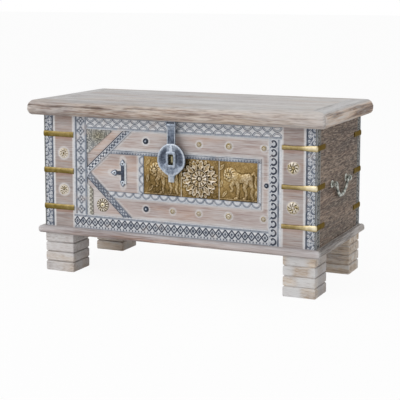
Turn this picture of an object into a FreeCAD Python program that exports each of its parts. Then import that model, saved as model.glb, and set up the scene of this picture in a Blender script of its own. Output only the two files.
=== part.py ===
import FreeCAD, Part
import math
import os
from FreeCAD import Placement, Rotation, Vector

# Inlaid blanket chest. Millimetres, +Z up, front towards -Y, origin on the floor under the
# middle of the overall box.

doc = FreeCAD.newDocument("InlaidChest")
sheet = doc.addObject("Spreadsheet::Sheet", "Sizes")

# Driving sizes
SIZES = [
    ("lid_thick", 43),
    ("lid_top_round", 22),
    ("lid_under_round", 17),
    ("lid_rail", 60),
    ("lid_panel_thick", 24),
    ("lid_gap", 0.4),
    ("front_overhang", 39),
    ("back_overhang", 9),
    ("side_overhang", 37.5),
    ("body_width", 825),
    ("body_depth", 392),
    ("rim_height", 456),
    ("board", 16),
    ("post", 32),
    ("facing", 5),
    ("bottom_thick", 12),
    ("foot_height", 112),
    ("foot_width", 92),
    ("foot_groove", 7),
    ("foot_groove_tall", 8),
    ("base_height", 21),
    ("base_out", 17),
    ("base_rail", 60),
    ("base_round", 9),
    ("stile_wide", 64.5),
    ("border_side", 42),
    ("border_right_width", 37),
    ("border_top_tall", 36),
    ("border_bottom_tall", 41),
    ("strip_wide", 27),
    ("strip_thick", 4.5),
    ("chevron_share", 0.2586),
    ("carving_share", 0.587),
    ("small_strip", 18),
    ("small_strip_share", 0.366),
    ("inner_thick", 3),
    ("inner_top_tall", 13),
    ("inner_bottom_tall", 18),
    ("inner_left_wide", 16),
    ("inner_right_wide", 10),
    ("brass_start", 0.3255),
    ("brass_wide_share", 0.20525),
    ("brass_rise", 0.2927),
    ("brass_tall_share", 0.435),
    ("brass_sheet", 1.2),
    ("strap_sheet", 1.5),
    ("strap_tall", 16),
    ("strap_waist", 3),
    ("strap_side", 64),
    ("strap_upper", 0.83),
    ("strap_middle", 0.505),
    ("strap_lower", 0.1765),
    ("rosette_upper", 0.6625),
    ("rosette_lower", 0.3344),
    ("rosette_radius", 15),
    ("sunburst_in", 0.3427),
    ("sunburst_rise", 0.122),
    ("sunburst_share", 0.133),
    ("stud_radius", 7.5),
    ("stud_small", 6),
    ("stud_tall", 4.5),
    ("stud_margin", 15.5),
    ("stud_row_upper", 0.8943),
    ("stud_row_lower", 0.118),
    ("ornament_start", 0.206),
    ("ornament_rise", 0.512),
    ("ornament_share", 0.6),
    ("ornament_arm", 30),
    ("ornament_bar", 12),
    ("ornament_sheet", 2.5),
    ("pin_fit", 0.05),
    ("hasp_out", 14),
    ("hasp_drop", 10),
    ("hasp_pin_radius", 3),
    ("hasp_eye_radius", 6),
    ("hasp_eye_wide", 30.4),
    ("hasp_sheet", 3),
    ("hasp_strap", 30),
    ("hasp_strap_long", 56),
    ("hasp_wide", 84),
    ("hasp_tall", 90),
    ("hasp_tail", 17),
    ("hasp_tail_long", 17),
    ("hasp_box", 5),
    ("hasp_rim", 7),
    ("hasp_lap", 20),
    ("hasp_slot_wide", 16),
    ("hasp_slot_tall", 30),
    ("staple_bar", 5),
    ("staple_plate_wide", 28),
    ("staple_plate_tall", 44),
    ("staple_tall", 20),
    ("staple_out", 11),
    ("hinge_spread", 0.6545),
    ("hinge_wide", 60),
    ("hinge_sheet", 2),
    ("hinge_radius", 4),
    ("hinge_pin_radius", 2),
    ("hinge_back", 5),
    ("hinge_drop", 5),
    ("hinge_leaf", 42),
    ("hinge_play", 0.4),
    ("handle_rise", 0.486),
    ("handle_reach", 66),
    ("handle_out", 10),
    ("bail_bar", 3.5),
    ("bail_drop", 42),
    ("bail_bottom", 26),
    ("eye_plate", 14),
    ("eye_lug", 8),
]
for row, (alias, number) in enumerate(SIZES, 1):
    sheet.set("A%d" % row, alias)
    sheet.set("B%d" % row, str(number))
    sheet.setAlias("B%d" % row, alias)
doc.recompute()


def size(alias):
    return float(sheet.get(alias))


# Planes that many pieces share, as expressions on the sheet and as numbers
HALF = "(Sizes.body_width / 2)"
FRONT = "((Sizes.front_overhang - Sizes.back_overhang - Sizes.body_depth) / 2)"
BACK = "((Sizes.front_overhang - Sizes.back_overhang + Sizes.body_depth) / 2)"
LID_X = "(Sizes.body_width / 2 + Sizes.side_overhang)"
LID_Y = "((Sizes.body_depth + Sizes.front_overhang + Sizes.back_overhang) / 2)"
FLOOR = "(Sizes.foot_height + Sizes.base_height)"
RIM = "Sizes.rim_height"
UNDER = "(Sizes.rim_height + Sizes.lid_gap)"
TOP = "(Sizes.rim_height + Sizes.lid_gap + Sizes.lid_thick)"
FACE = "(%s + Sizes.facing)" % FRONT
INNER = "(Sizes.body_width / 2 - Sizes.post - Sizes.stile_wide)"
FIELD_TOP = "(Sizes.rim_height - Sizes.border_top_tall)"
FIELD_LOW = "(%s + Sizes.border_bottom_tall)" % FLOOR
FIELD_LEFT = "(Sizes.border_side - %s)" % INNER
FIELD_RIGHT = "(%s - Sizes.border_right_width)" % INNER
FIELD_WIDE = "(%s - %s)" % (FIELD_RIGHT, FIELD_LEFT)
FIELD_TALL = "(%s - %s)" % (FIELD_TOP, FIELD_LOW)
BRASS_LEFT = "(%s + %s * Sizes.brass_start)" % (FIELD_LEFT, FIELD_WIDE)
BRASS_WIDE = "(%s * Sizes.brass_wide_share)" % FIELD_WIDE
BRASS_RIGHT = "(%s + 3 * %s)" % (BRASS_LEFT, BRASS_WIDE)
BRASS_LOW = "(%s + %s * Sizes.brass_rise)" % (FIELD_LOW, FIELD_TALL)
BRASS_TALL = "(%s * Sizes.brass_tall_share)" % FIELD_TALL
BRASS_TOP = "(%s + %s)" % (BRASS_LOW, BRASS_TALL)
BODY_TALL = "(Sizes.rim_height - %s)" % FLOOR
HANDLE_Z = "(%s + %s * Sizes.handle_rise)" % (FLOOR, BODY_TALL)
HINGE_X = "(%s * Sizes.hinge_spread)" % HALF
HINGE_Y = "(%s + Sizes.hinge_back)" % BACK
HINGE_Z = "(%s - Sizes.hinge_drop)" % UNDER
HASP_Y = "(%s - Sizes.hasp_out)" % FRONT
HASP_Z = "(%s - Sizes.hasp_drop)" % UNDER
SIDE_MID = "(%s + Sizes.body_depth / 2)" % FRONT

half = size("body_width") / 2
front = (size("front_overhang") - size("back_overhang") - size("body_depth")) / 2
back = front + size("body_depth")
floor_z = size("foot_height") + size("base_height")
rim = size("rim_height")
under = rim + size("lid_gap")
top = under + size("lid_thick")
field_top = rim - size("border_top_tall")
field_low = floor_z + size("border_bottom_tall")
inner = half - size("post") - size("stile_wide")
field_left = size("border_side") - inner
field_wide = inner - size("border_right_width") - field_left
field_tall = field_top - field_low
field_mid = (field_top + field_low) / 2
brass_left = field_left + field_wide * size("brass_start")
brass_wide = field_wide * size("brass_wide_share")
brass_low = field_low + field_tall * size("brass_rise")
brass_top = brass_low + field_tall * size("brass_tall_share")

nodes = []


def keep(piece, label):
    piece.Label = label
    nodes.append(piece)
    return piece


# Part primitives bound to the sheet
def bind(piece, x, y, z):
    piece.setExpression("Placement.Base.x", x)
    piece.setExpression("Placement.Base.y", y)
    piece.setExpression("Placement.Base.z", z)


def box(name, x0, x1, y0, y1, z0, z1):
    piece = doc.addObject("Part::Box", name)
    piece.setExpression("Length", "(%s) - (%s)" % (x1, x0))
    piece.setExpression("Width", "(%s) - (%s)" % (y1, y0))
    piece.setExpression("Height", "(%s) - (%s)" % (z1, z0))
    bind(piece, x0, y0, z0)
    return piece


TURNS = {
    "+X": Rotation(Vector(0, 1, 0), 90),
    "-X": Rotation(Vector(0, 1, 0), -90),
    "+Y": Rotation(Vector(1, 0, 0), -90),
    "-Y": Rotation(Vector(1, 0, 0), 90),
}


def rod(name, way, radius, length, x, y, z):
    piece = doc.addObject("Part::Cylinder", name)
    piece.Placement = Placement(Vector(), TURNS[way])
    piece.setExpression("Radius", radius)
    piece.setExpression("Height", length)
    bind(piece, x, y, z)
    return piece


def dome(name, radius, tall, x, y, z):
    piece = doc.addObject("Part::Cone", name)
    piece.Placement = Placement(Vector(), TURNS["-Y"])
    piece.setExpression("Radius1", radius)
    piece.setExpression("Radius2", "%s * 0.55" % radius)
    piece.setExpression("Height", tall)
    bind(piece, x, y, z)
    return piece


def fuse(name, pieces):
    whole = doc.addObject("Part::MultiFuse", name)
    whole.Shapes = pieces
    whole.Refine = True
    return whole


def cut(name, base, tool):
    whole = doc.addObject("Part::Cut", name)
    whole.Base = base
    whole.Tool = tool
    return whole


def group(label, pieces):
    whole = doc.addObject("Part::Compound", label)
    whole.Links = pieces
    return keep(whole, label)


# Part Design bodies drawn from sketches
def plane(body, role):
    for feature in body.Origin.OriginFeatures:
        if feature.Role == role:
            return feature
    raise ValueError(role)


def loop(sketch, points):
    for a, b in zip(points, points[1:] + points[:1]):
        start = Vector(a[0], a[1], 0)
        end = Vector(b[0], b[1], 0)
        if len(a) == 2:
            sketch.addGeometry(Part.LineSegment(start, end), False)
        else:
            middle = Vector(a[2], a[3], 0)
            sketch.addGeometry(Part.Arc(start, middle, end), False)


def draw(body, name, role, offset, loops):
    sketch = body.newObject("Sketcher::SketchObject", name)
    sketch.AttachmentSupport = [(plane(body, role), "")]
    sketch.MapMode = "FlatFace"
    sketch.AttachmentOffset = Placement(Vector(0, 0, offset), Rotation())
    for points in loops:
        loop(sketch, points)
    return sketch


def pad(body, name, role, offset, loops, length):
    sketch = draw(body, name + "_sketch", role, offset, loops)
    feature = body.newObject("PartDesign::Pad", name)
    feature.Profile = sketch
    if isinstance(length, str):
        feature.setExpression("Length", length)
    else:
        feature.Length = length
    doc.recompute()
    return feature


def pocket(body, name, role, offset, loops):
    before = body.Shape.Volume
    sketch = draw(body, name + "_sketch", role, offset, loops)
    feature = body.newObject("PartDesign::Pocket", name)
    feature.Profile = sketch
    feature.Type = "ThroughAll"
    doc.recompute()
    if body.Shape.Volume > before - 1e-6:
        raise ValueError("%s cut nothing" % name)
    return feature


def new_body(label):
    return keep(doc.addObject("PartDesign::Body", label), label)


def circle(radius, x, y):
    return [(x + radius, y, x, y + radius), (x - radius, y, x, y - radius)]


def rect(x0, x1, y0, y1):
    return [(x0, y0), (x1, y0), (x1, y1), (x0, y1)]


def facing_plate(label, points, behind, thickness):
    """A flat plate drawn in front view, its back on the plane 'behind'."""
    body = new_body(label)
    pad(body, label + "_pad", "XZ_Plane", 0, [points], thickness)
    body.setExpression("Placement.Base.y", behind)
    return body


# Box of the body
IN_POST = "(%s - Sizes.post)" % HALF
keep(box("front_panel", "-" + IN_POST, IN_POST, FACE, FACE + " + Sizes.board", FLOOR, RIM), "front_panel")
plain_back = box("plain_back", "-" + IN_POST, IN_POST, BACK + " - Sizes.board", BACK, FLOOR, RIM)
seats = []
for side, sign in (("left", "-"), ("right", "")):
    seat = box("hinge_seat_" + side, sign + HINGE_X + " - Sizes.hinge_wide / 2 - 1",
               sign + HINGE_X + " + Sizes.hinge_wide / 2 + 1", BACK + " - Sizes.board - 1", BACK + " + 1",
               UNDER + " - Sizes.hinge_sheet - 1", RIM + " + 1")
    seats.append(seat)
keep(cut("back_panel", plain_back, fuse("hinge_seats", seats)), "back_panel")
POST_FRONT = FRONT + " + Sizes.post"
POST_BACK = BACK + " - Sizes.post"
keep(box("left_side_panel", "-" + HALF, "Sizes.board - " + HALF, POST_FRONT, POST_BACK, FLOOR, RIM),
     "left_side_panel")
keep(box("right_side_panel", HALF + " - Sizes.board", HALF, POST_FRONT, POST_BACK, FLOOR, RIM),
     "right_side_panel")
for end, y0, y1 in (("front", FRONT, POST_FRONT), ("back", POST_BACK, BACK)):
    keep(box("post_%s_left" % end, "-" + HALF, "-" + IN_POST, y0, y1, FLOOR, RIM), "post_%s_left" % end)
    keep(box("post_%s_right" % end, IN_POST, HALF, y0, y1, FLOOR, RIM), "post_%s_right" % end)

# The bottom board is notched round the four posts
wide_x = half - size("board")
slim_x = half - size("post")
near_y = front + size("facing") + size("board")
far_y = back - size("board")
near_post = front + size("post")
far_post = back - size("post")
outline = [
    (-slim_x, near_y), (slim_x, near_y), (slim_x, near_post), (wide_x, near_post),
    (wide_x, far_post), (slim_x, far_post), (slim_x, far_y), (-slim_x, far_y),
    (-slim_x, far_post), (-wide_x, far_post), (-wide_x, near_post), (-slim_x, near_post),
]
bottom = new_body("bottom_board")
pad(bottom, "bottom_pad", "XY_Plane", 0, [outline], "Sizes.bottom_thick")
bottom.setExpression("Placement.Base.z", FLOOR)


# Rails with a rounded outer edge, mitred where they meet
def rail_profile(outer, inner, low, high, round_low, round_high):
    way = 1 if inner > outer else -1
    bend = 1 - math.sqrt(0.5)
    return [
        (inner, low),
        (outer + way * round_low, low, outer + way * round_low * bend, low + round_low * bend),
        (outer, low + round_low),
        (outer, high - round_high, outer + way * round_high * bend, high - round_high * bend),
        (outer + way * round_high, high),
        (inner, high),
    ]


def long_rail(label, outer, inner, end, low, high, round_low, round_high):
    """A rail along X whose two ends are mitred."""
    body = new_body(label)
    profile = rail_profile(outer, inner, low, high, round_low, round_high)
    pad(body, label + "_pad", "YZ_Plane", -end, [profile], 2 * end)
    deep = abs(inner - outer)
    past = inner + (inner - outer)
    left = [(-end, outer), (-end + 2 * deep, past), (-end, past)]
    right = [(end, outer), (end - 2 * deep, past), (end, past)]
    pocket(body, label + "_mitre", "XY_Plane", high + 5, [left, right])
    return body


def side_rail(label, outer, inner, near, far, mitre_far, low, high, round_low, round_high):
    """A rail along Y, mitred at the front and, where asked, at the back."""
    body = new_body(label)
    profile = rail_profile(outer, inner, low, high, round_low, round_high)
    pad(body, label + "_pad", "XZ_Plane", -far, [profile], far - near)
    deep = abs(inner - outer)
    past = inner + (inner - outer)
    cuts = [[(outer, near), (past, near + 2 * deep), (past, near)]]
    if mitre_far:
        cuts.append([(outer, far), (past, far - 2 * deep), (past, far)])
    pocket(body, label + "_mitre", "XY_Plane", high + 5, cuts)
    return body


# Base moulding
low = size("foot_height")
nose_x = half + size("base_out")
nose_y = front - size("base_out")
deep = size("base_rail")
bead = size("base_round")
long_rail("base_front", nose_y, nose_y + deep, nose_x, low, floor_z, bead, bead)
side_rail("base_left", -nose_x, -nose_x + deep, nose_y, back, False, low, floor_z, bead, bead)
side_rail("base_right", nose_x, nose_x - deep, nose_y, back, False, low, floor_z, bead, bead)
IN_BASE = "(%s + Sizes.base_out - Sizes.base_rail)" % HALF
keep(box("base_back", "-" + IN_BASE, IN_BASE, BACK + " - Sizes.base_rail", BACK, "Sizes.foot_height", FLOOR),
     "base_back")


# Grooved feet: four bands parted by three grooves on all sides
def notches(half_foot, tall, depth):
    cuts = []
    open_half = size("foot_groove_tall") / 2
    for number in (1, 2, 3):
        middle = tall * number / 4
        for way in (-1, 1):
            edge = way * (half_foot + 1)
            tip = way * (half_foot - depth)
            cuts.append([(edge, middle - open_half), (edge, middle + open_half), (tip, middle)])
    return cuts


def foot(label, x, y):
    body = new_body(label)
    tall = size("foot_height")
    half_foot = size("foot_width") / 2
    block = rect(-half_foot, half_foot, -half_foot, half_foot)
    pad(body, label + "_pad", "XY_Plane", 0, [block], "Sizes.foot_height")
    grooves = notches(half_foot, tall, size("foot_groove"))
    pocket(body, label + "_grooves_x", "YZ_Plane", half_foot + 1, grooves)
    pocket(body, label + "_grooves_y", "XZ_Plane", half_foot + 1, grooves)
    body.setExpression("Placement.Base.x", x)
    body.setExpression("Placement.Base.y", y)


FOOT_X = "(%s - Sizes.foot_width / 2)" % HALF
foot("foot_front_left", "-" + FOOT_X, FRONT + " + Sizes.foot_width / 2")
foot("foot_front_right", FOOT_X, FRONT + " + Sizes.foot_width / 2")
foot("foot_back_left", "-" + FOOT_X, BACK + " - Sizes.foot_width / 2")
foot("foot_back_right", FOOT_X, BACK + " - Sizes.foot_width / 2")

# Facings of the front: stiles and the carved frame
keep(box("stile_left", "-" + IN_POST, "-" + INNER, FRONT, FACE, FLOOR, RIM), "stile_left")
keep(box("stile_right", INNER, IN_POST, FRONT, FACE, FLOOR, RIM), "stile_right")
keep(box("border_left", "-" + INNER, FIELD_LEFT, FRONT, FACE, FIELD_LOW, RIM), "border_left")
keep(box("border_top", FIELD_LEFT, INNER, FRONT, FACE, FIELD_TOP, RIM), "border_top")
keep(box("border_right", FIELD_RIGHT, INNER, FRONT, FACE, FLOOR, FIELD_TOP), "border_right")
keep(box("border_bottom", "-" + INNER, FIELD_RIGHT, FRONT, FACE, FLOOR, FIELD_LOW), "border_bottom")

# Chevron of two carved strips, and the carvings in the two triangles behind it
run = field_wide * size("chevron_share")
wide = size("strip_wide")
rise = field_top - field_mid
lift = wide * rise / run
tip = field_left
upper = [
    (tip, field_mid), (tip + wide * 0.35, field_mid), (tip + run, field_top),
    (tip + run - wide, field_top), (tip, field_mid + lift * 0.65),
]
facing_plate("diagonal_upper", upper, FACE, "Sizes.strip_thick")
lower = [
    (tip, field_mid), (tip, field_mid - lift * 0.65), (tip + run - wide, field_low),
    (tip + run, field_low), (tip + wide * 0.35, field_mid),
]
facing_plate("diagonal_lower", lower, FACE, "Sizes.strip_thick")
reach = run * size("carving_share")
corner = [(tip, field_top - reach * rise / run), (tip + reach, field_top), (tip, field_top)]
facing_plate("corner_carving", corner, FACE, "Sizes.inner_thick")
slim = size("small_strip")
strip_top = field_low + field_tall * size("small_strip_share")
facing_plate("carved_strip", [
    (tip, field_low), (tip + slim, field_low), (tip + slim, strip_top - slim * rise / run), (tip, strip_top),
], FACE, "Sizes.inner_thick")

# Thin inner borders round the brass panels, cut to the slope of the chevron
brass_right = brass_left + 3 * brass_wide
inner_right = brass_right + size("inner_right_wide")


def slope_x(z):
    return tip + wide * 0.35 + abs(z - field_mid) * (run - wide * 0.35) / rise + 1


high = brass_top + size("inner_top_tall")
deep_low = brass_low - size("inner_bottom_tall")
facing_plate("inner_border_top", [
    (slope_x(brass_top), brass_top), (inner_right, brass_top), (inner_right, high), (slope_x(high), high),
], FACE, "Sizes.inner_thick")
facing_plate("inner_border_bottom", [
    (slope_x(deep_low), deep_low), (inner_right, deep_low), (inner_right, brass_low),
    (slope_x(brass_low), brass_low),
], FACE, "Sizes.inner_thick")
INNER_Y = FACE + " - Sizes.inner_thick"
keep(box("inner_border_left", BRASS_LEFT + " - Sizes.inner_left_wide", BRASS_LEFT, INNER_Y, FACE,
         BRASS_LOW, BRASS_TOP), "inner_border_left")
keep(box("inner_border_right", BRASS_RIGHT, BRASS_RIGHT + " + Sizes.inner_right_wide", INNER_Y, FACE,
         BRASS_LOW, BRASS_TOP), "inner_border_right")
for number, place in enumerate(("left", "centre", "right")):
    x0 = "%s + %d * %s" % (BRASS_LEFT, number, BRASS_WIDE)
    label = "brass_panel_" + place
    keep(box(label, x0, x0 + " + " + BRASS_WIDE, FACE + " - Sizes.brass_sheet", FACE,
             BRASS_LOW, BRASS_TOP), label)


# Brass corner straps: an angle of sheet metal, waisted on its front leg
def strap(name, x_way, y_way, z):
    body = doc.addObject("PartDesign::Body", name)
    sheet_t = size("strap_sheet")
    long_x = half - inner
    long_y = size("strap_side")
    tall = size("strap_tall")
    angle = [
        (x_way * sheet_t, y_way * sheet_t), (-x_way * long_x, y_way * sheet_t), (-x_way * long_x, 0),
        (0, 0), (0, -y_way * long_y), (x_way * sheet_t, -y_way * long_y),
    ]
    pad(body, name + "_pad", "XY_Plane", -tall / 2, [angle], "Sizes.strap_tall")
    waist = size("strap_waist")
    cuts = []
    for way in (-1, 1):
        edge = way * (tall / 2 + 0.01)
        start = -x_way * long_x * 0.12
        end = -x_way * long_x * 0.94
        cuts.append([(start, edge, (start + end) / 2, edge - way * waist), (end, edge)])
    pocket(body, name + "_waist", "XZ_Plane", long_y + 2, cuts)
    bind(body, HALF if x_way > 0 else "-" + HALF, BACK if y_way > 0 else FRONT, z)
    return body


for end, y_way in (("front", -1), ("back", 1)):
    for side, x_way in (("left", -1), ("right", 1)):
        label = "straps_%s_%s" % (end, side)
        angles = []
        for place in ("upper", "middle", "lower"):
            level = "%s + %s * Sizes.strap_%s" % (FLOOR, BODY_TALL, place)
            angles.append(strap("%s_%s" % (label, place), x_way, y_way, level))
        group(label, angles)

# Rosettes, studs and the iron ornament of the front
ROSETTE_X = "(%s + Sizes.stile_wide / 2)" % INNER
rosettes = []
for side, sign in (("left", "-"), ("right", "")):
    for place in ("upper", "lower"):
        level = "%s + %s * Sizes.rosette_%s" % (FLOOR, BODY_TALL, place)
        rosettes.append(dome("rosette_%s_%s" % (side, place), "Sizes.rosette_radius", "Sizes.stud_tall",
                             sign + ROSETTE_X, FRONT, level))
group("stile_rosettes", rosettes)
rays = []
for step in range(32):
    angle = math.pi * step / 16
    ray = run * size("sunburst_share") * (1 if step % 2 == 0 else 0.82)
    rays.append((ray * math.cos(angle), ray * math.sin(angle)))
sunburst = facing_plate("sunburst_rosette", rays, FACE, "Sizes.stud_tall")
SUN_IN = "%s * Sizes.chevron_share * Sizes.sunburst_in" % FIELD_WIDE
sunburst.setExpression("Placement.Base.x", "%s + %s" % (FIELD_LEFT, SUN_IN))
sunburst.setExpression("Placement.Base.z", "%s + %s * Sizes.sunburst_rise" % (FIELD_LOW, FIELD_TALL))
STUD_LEFT = BRASS_LEFT + " + 6"
STUD_RIGHT = FIELD_RIGHT + " - Sizes.stud_margin"
STUD_EDGE = "(%s + Sizes.inner_right_wide) * 0.35 + %s * 0.65" % (BRASS_RIGHT, FIELD_RIGHT)
UPPER = "%s + %s * Sizes.stud_row_upper" % (FIELD_LOW, FIELD_TALL)
LOWER = "%s + %s * Sizes.stud_row_lower" % (FIELD_LOW, FIELD_TALL)
MIDDLE = "%s + %s * 0.45" % (BRASS_LOW, BRASS_TALL)
group("iron_studs", [
    dome("iron_stud_upper", "Sizes.stud_radius", "Sizes.stud_tall", STUD_LEFT, FACE, UPPER),
    dome("iron_stud_lower", "Sizes.stud_radius", "Sizes.stud_tall", STUD_LEFT, FACE, LOWER),
    dome("iron_stud_right", "Sizes.stud_small", "Sizes.stud_tall", STUD_EDGE, FACE, MIDDLE),
])
STUD_A = "%s + %s * 0.78" % (BRASS_LEFT, BRASS_WIDE)
STUD_B = "%s + %s * 1.48" % (BRASS_LEFT, BRASS_WIDE)
STUD_C = "%s + %s * 2.26" % (BRASS_LEFT, BRASS_WIDE)
group("brass_studs", [
    dome("brass_stud_1", "Sizes.stud_small", "Sizes.stud_tall", STUD_B, FACE, UPPER),
    dome("brass_stud_2", "Sizes.stud_radius", "Sizes.stud_tall", STUD_C, FACE, UPPER),
    dome("brass_stud_3", "Sizes.stud_small", "Sizes.stud_tall", STUD_RIGHT, FACE, UPPER),
    dome("brass_stud_4", "Sizes.stud_small", "Sizes.stud_tall", STUD_A, FACE, LOWER),
    dome("brass_stud_5", "Sizes.stud_small", "Sizes.stud_tall", STUD_B, FACE, LOWER),
    dome("brass_stud_6", "Sizes.stud_radius", "Sizes.stud_tall", STUD_C, FACE, LOWER),
    dome("brass_stud_7", "Sizes.stud_small", "Sizes.stud_tall", STUD_RIGHT, FACE, LOWER),
])
ORN_Y = FACE + " - Sizes.ornament_sheet"
BAR = "Sizes.ornament_bar / 2"
ORN_X = "(%s + %s * Sizes.ornament_start)" % (FIELD_LEFT, FIELD_WIDE)
ORN_Z = "(%s + %s * Sizes.ornament_rise)" % (FIELD_LOW, FIELD_TALL)
ORN_UP = "%s + %s * Sizes.ornament_share / 2" % (ORN_Z, BRASS_TALL)
ORN_DOWN = "%s - %s * Sizes.ornament_share / 2" % (ORN_Z, BRASS_TALL)
ORN_LEFT = ORN_X + " - Sizes.ornament_arm"
TIP = "Sizes.ornament_bar * 0.62"
keep(fuse("t_ornament", [
    box("ornament_stem", ORN_X + " - " + BAR, ORN_X + " + " + BAR, ORN_Y, FACE,
        ORN_DOWN, ORN_UP),
    box("ornament_bar_left", ORN_LEFT, ORN_X, ORN_Y, FACE,
        ORN_Z + " - " + BAR, ORN_Z + " + " + BAR),
    rod("ornament_tip_up", "-Y", TIP, "Sizes.ornament_sheet", ORN_X, FACE, ORN_UP),
    rod("ornament_tip_down", "-Y", TIP, "Sizes.ornament_sheet", ORN_X, FACE, ORN_DOWN),
    rod("ornament_tip_left", "-Y", TIP, "Sizes.ornament_sheet", ORN_LEFT, FACE, ORN_Z),
]), "t_ornament")

# Staple on the front: a small plate with a bow of square bar standing out of it
SLOT_Z = "(%s - Sizes.hasp_strap_long - Sizes.hasp_tall * 0.44)" % HASP_Z
staple = new_body("hasp_staple")
seat = size("facing") - size("inner_thick")
plate_x = size("staple_plate_wide") / 2
plate_z = size("staple_plate_tall") / 2
bar = size("staple_bar")
tall = size("staple_tall") / 2
nose = size("staple_out")
pad(staple, "staple_plate", "XZ_Plane", -seat, [rect(-plate_x, plate_x, -plate_z, plate_z)], seat)
bow = [
    (0, tall), (2 - nose, tall), (-nose, tall - 2), (-nose, 2 - tall), (2 - nose, -tall), (0, -tall),
    (0, bar - tall), (bar - nose, bar - tall), (bar - nose, tall - bar), (0, tall - bar),
]
pad(staple, "staple_bow", "YZ_Plane", -bar / 2, [bow], bar)
bind(staple, "0", FRONT, SLOT_Z)

# Hinges behind the back panel, under the lid's overhang
THIRD = "Sizes.hinge_wide / 3"
leaves_body = []
leaves_lid = []
pins = []
for side, sign in (("left", "-"), ("right", "")):
    mid = sign + HINGE_X
    x0 = mid + " - Sizes.hinge_wide / 2"
    x1 = mid + " + Sizes.hinge_wide / 2"
    left_end = x0 + " + " + THIRD + " - Sizes.hinge_play / 2"
    right_start = x1 + " - " + THIRD + " + Sizes.hinge_play / 2"
    plate_y = BACK + " + Sizes.hinge_sheet"
    lap = HINGE_Z + " - Sizes.hinge_radius - 0.5"
    span = THIRD + " - Sizes.hinge_play / 2"
    bore_r = "Sizes.hinge_pin_radius + Sizes.pin_fit"
    solid = fuse("hinge_solid_" + side, [
        box("leaf_plate_" + side, x0, x1, BACK, plate_y, lap + " - Sizes.hinge_leaf", lap),
        box("leaf_tab_a_" + side, x0, left_end, BACK, plate_y, lap, HINGE_Z),
        box("leaf_tab_b_" + side, right_start, x1, BACK, plate_y, lap, HINGE_Z),
        rod("knuckle_a_" + side, "+X", "Sizes.hinge_radius", span, x0, HINGE_Y, HINGE_Z),
        rod("knuckle_b_" + side, "+X", "Sizes.hinge_radius", span, right_start, HINGE_Y, HINGE_Z),
    ])
    bore = rod("bore_body_" + side, "+X", bore_r, "Sizes.hinge_wide + 2", x0 + " - 1", HINGE_Y, HINGE_Z)
    leaves_body.append(cut("leaf_body_" + side, solid, bore))
    lid_solid = fuse("hinge_lid_solid_" + side, [
        box("lid_plate_" + side, x0, x1, BACK + " - Sizes.board - 2", BACK,
            UNDER + " - Sizes.hinge_sheet", UNDER),
        box("lid_tab_" + side, left_end + " + Sizes.hinge_play", right_start + " - Sizes.hinge_play",
            BACK, HINGE_Y, UNDER + " - Sizes.hinge_sheet", UNDER),
        rod("knuckle_lid_" + side, "+X", "Sizes.hinge_radius", THIRD + " - Sizes.hinge_play",
            left_end + " + Sizes.hinge_play", HINGE_Y, HINGE_Z),
    ])
    bore = rod("bore_lid_" + side, "+X", bore_r, "Sizes.hinge_wide + 2", x0 + " - 1", HINGE_Y, HINGE_Z)
    leaves_lid.append(cut("leaf_lid_" + side, lid_solid, bore))
    pins.append(rod("pin_" + side, "+X", "Sizes.hinge_pin_radius", "Sizes.hinge_wide", x0, HINGE_Y, HINGE_Z))
group("hinge_body_leaves", leaves_body)
group("hinge_pins", pins)
group("hinge_lid_leaves", leaves_lid)

# Lid: a panel in a mitred frame with rounded edges
lid_x = half + size("side_overhang")
lid_y = (size("body_depth") + size("front_overhang") + size("back_overhang")) / 2
rail = size("lid_rail")
soft = size("lid_under_round")
crown = size("lid_top_round")
long_rail("lid_rail_front", -lid_y, -lid_y + rail, lid_x, under, top, soft, crown)
long_rail("lid_rail_back", lid_y, lid_y - rail, lid_x, under, top, soft, crown)
side_rail("lid_rail_left", -lid_x, -lid_x + rail, -lid_y, lid_y, True, under, top, soft, crown)
side_rail("lid_rail_right", lid_x, lid_x - rail, -lid_y, lid_y, True, under, top, soft, crown)
IN_X = "(%s - Sizes.lid_rail)" % LID_X
IN_Y = "(%s - Sizes.lid_rail)" % LID_Y
keep(box("lid_panel", "-" + IN_X, IN_X, "-" + IN_Y, IN_Y, TOP + " - Sizes.lid_panel_thick", TOP), "lid_panel")

# Hanger under the lid's overhang: a plate with two ears and a cross pin
EYE = "Sizes.hasp_eye_wide / 2"
HOLD = UNDER + " - Sizes.hinge_sheet"
ears = []
for side, x0, x1 in (("left", "-%s - 5" % EYE, "-%s - 0.6" % EYE), ("right", EYE + " + 0.6", EYE + " + 5")):
    ears.append(box("hanger_ear_" + side, x0, x1, HASP_Y + " - 6", HASP_Y + " + 6", HASP_Z + " - 6", HOLD))
keep(fuse("hasp_hanger", [
    box("hanger_plate", "-%s - 10" % EYE, EYE + " + 10", HASP_Y + " - 9", HASP_Y + " + 9", HOLD, UNDER),
    rod("hanger_pin", "+X", "Sizes.hasp_pin_radius", "Sizes.hasp_eye_wide + 10", "-%s - 5" % EYE,
        HASP_Y, HASP_Z),
] + ears), "hasp_hanger")

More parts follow.
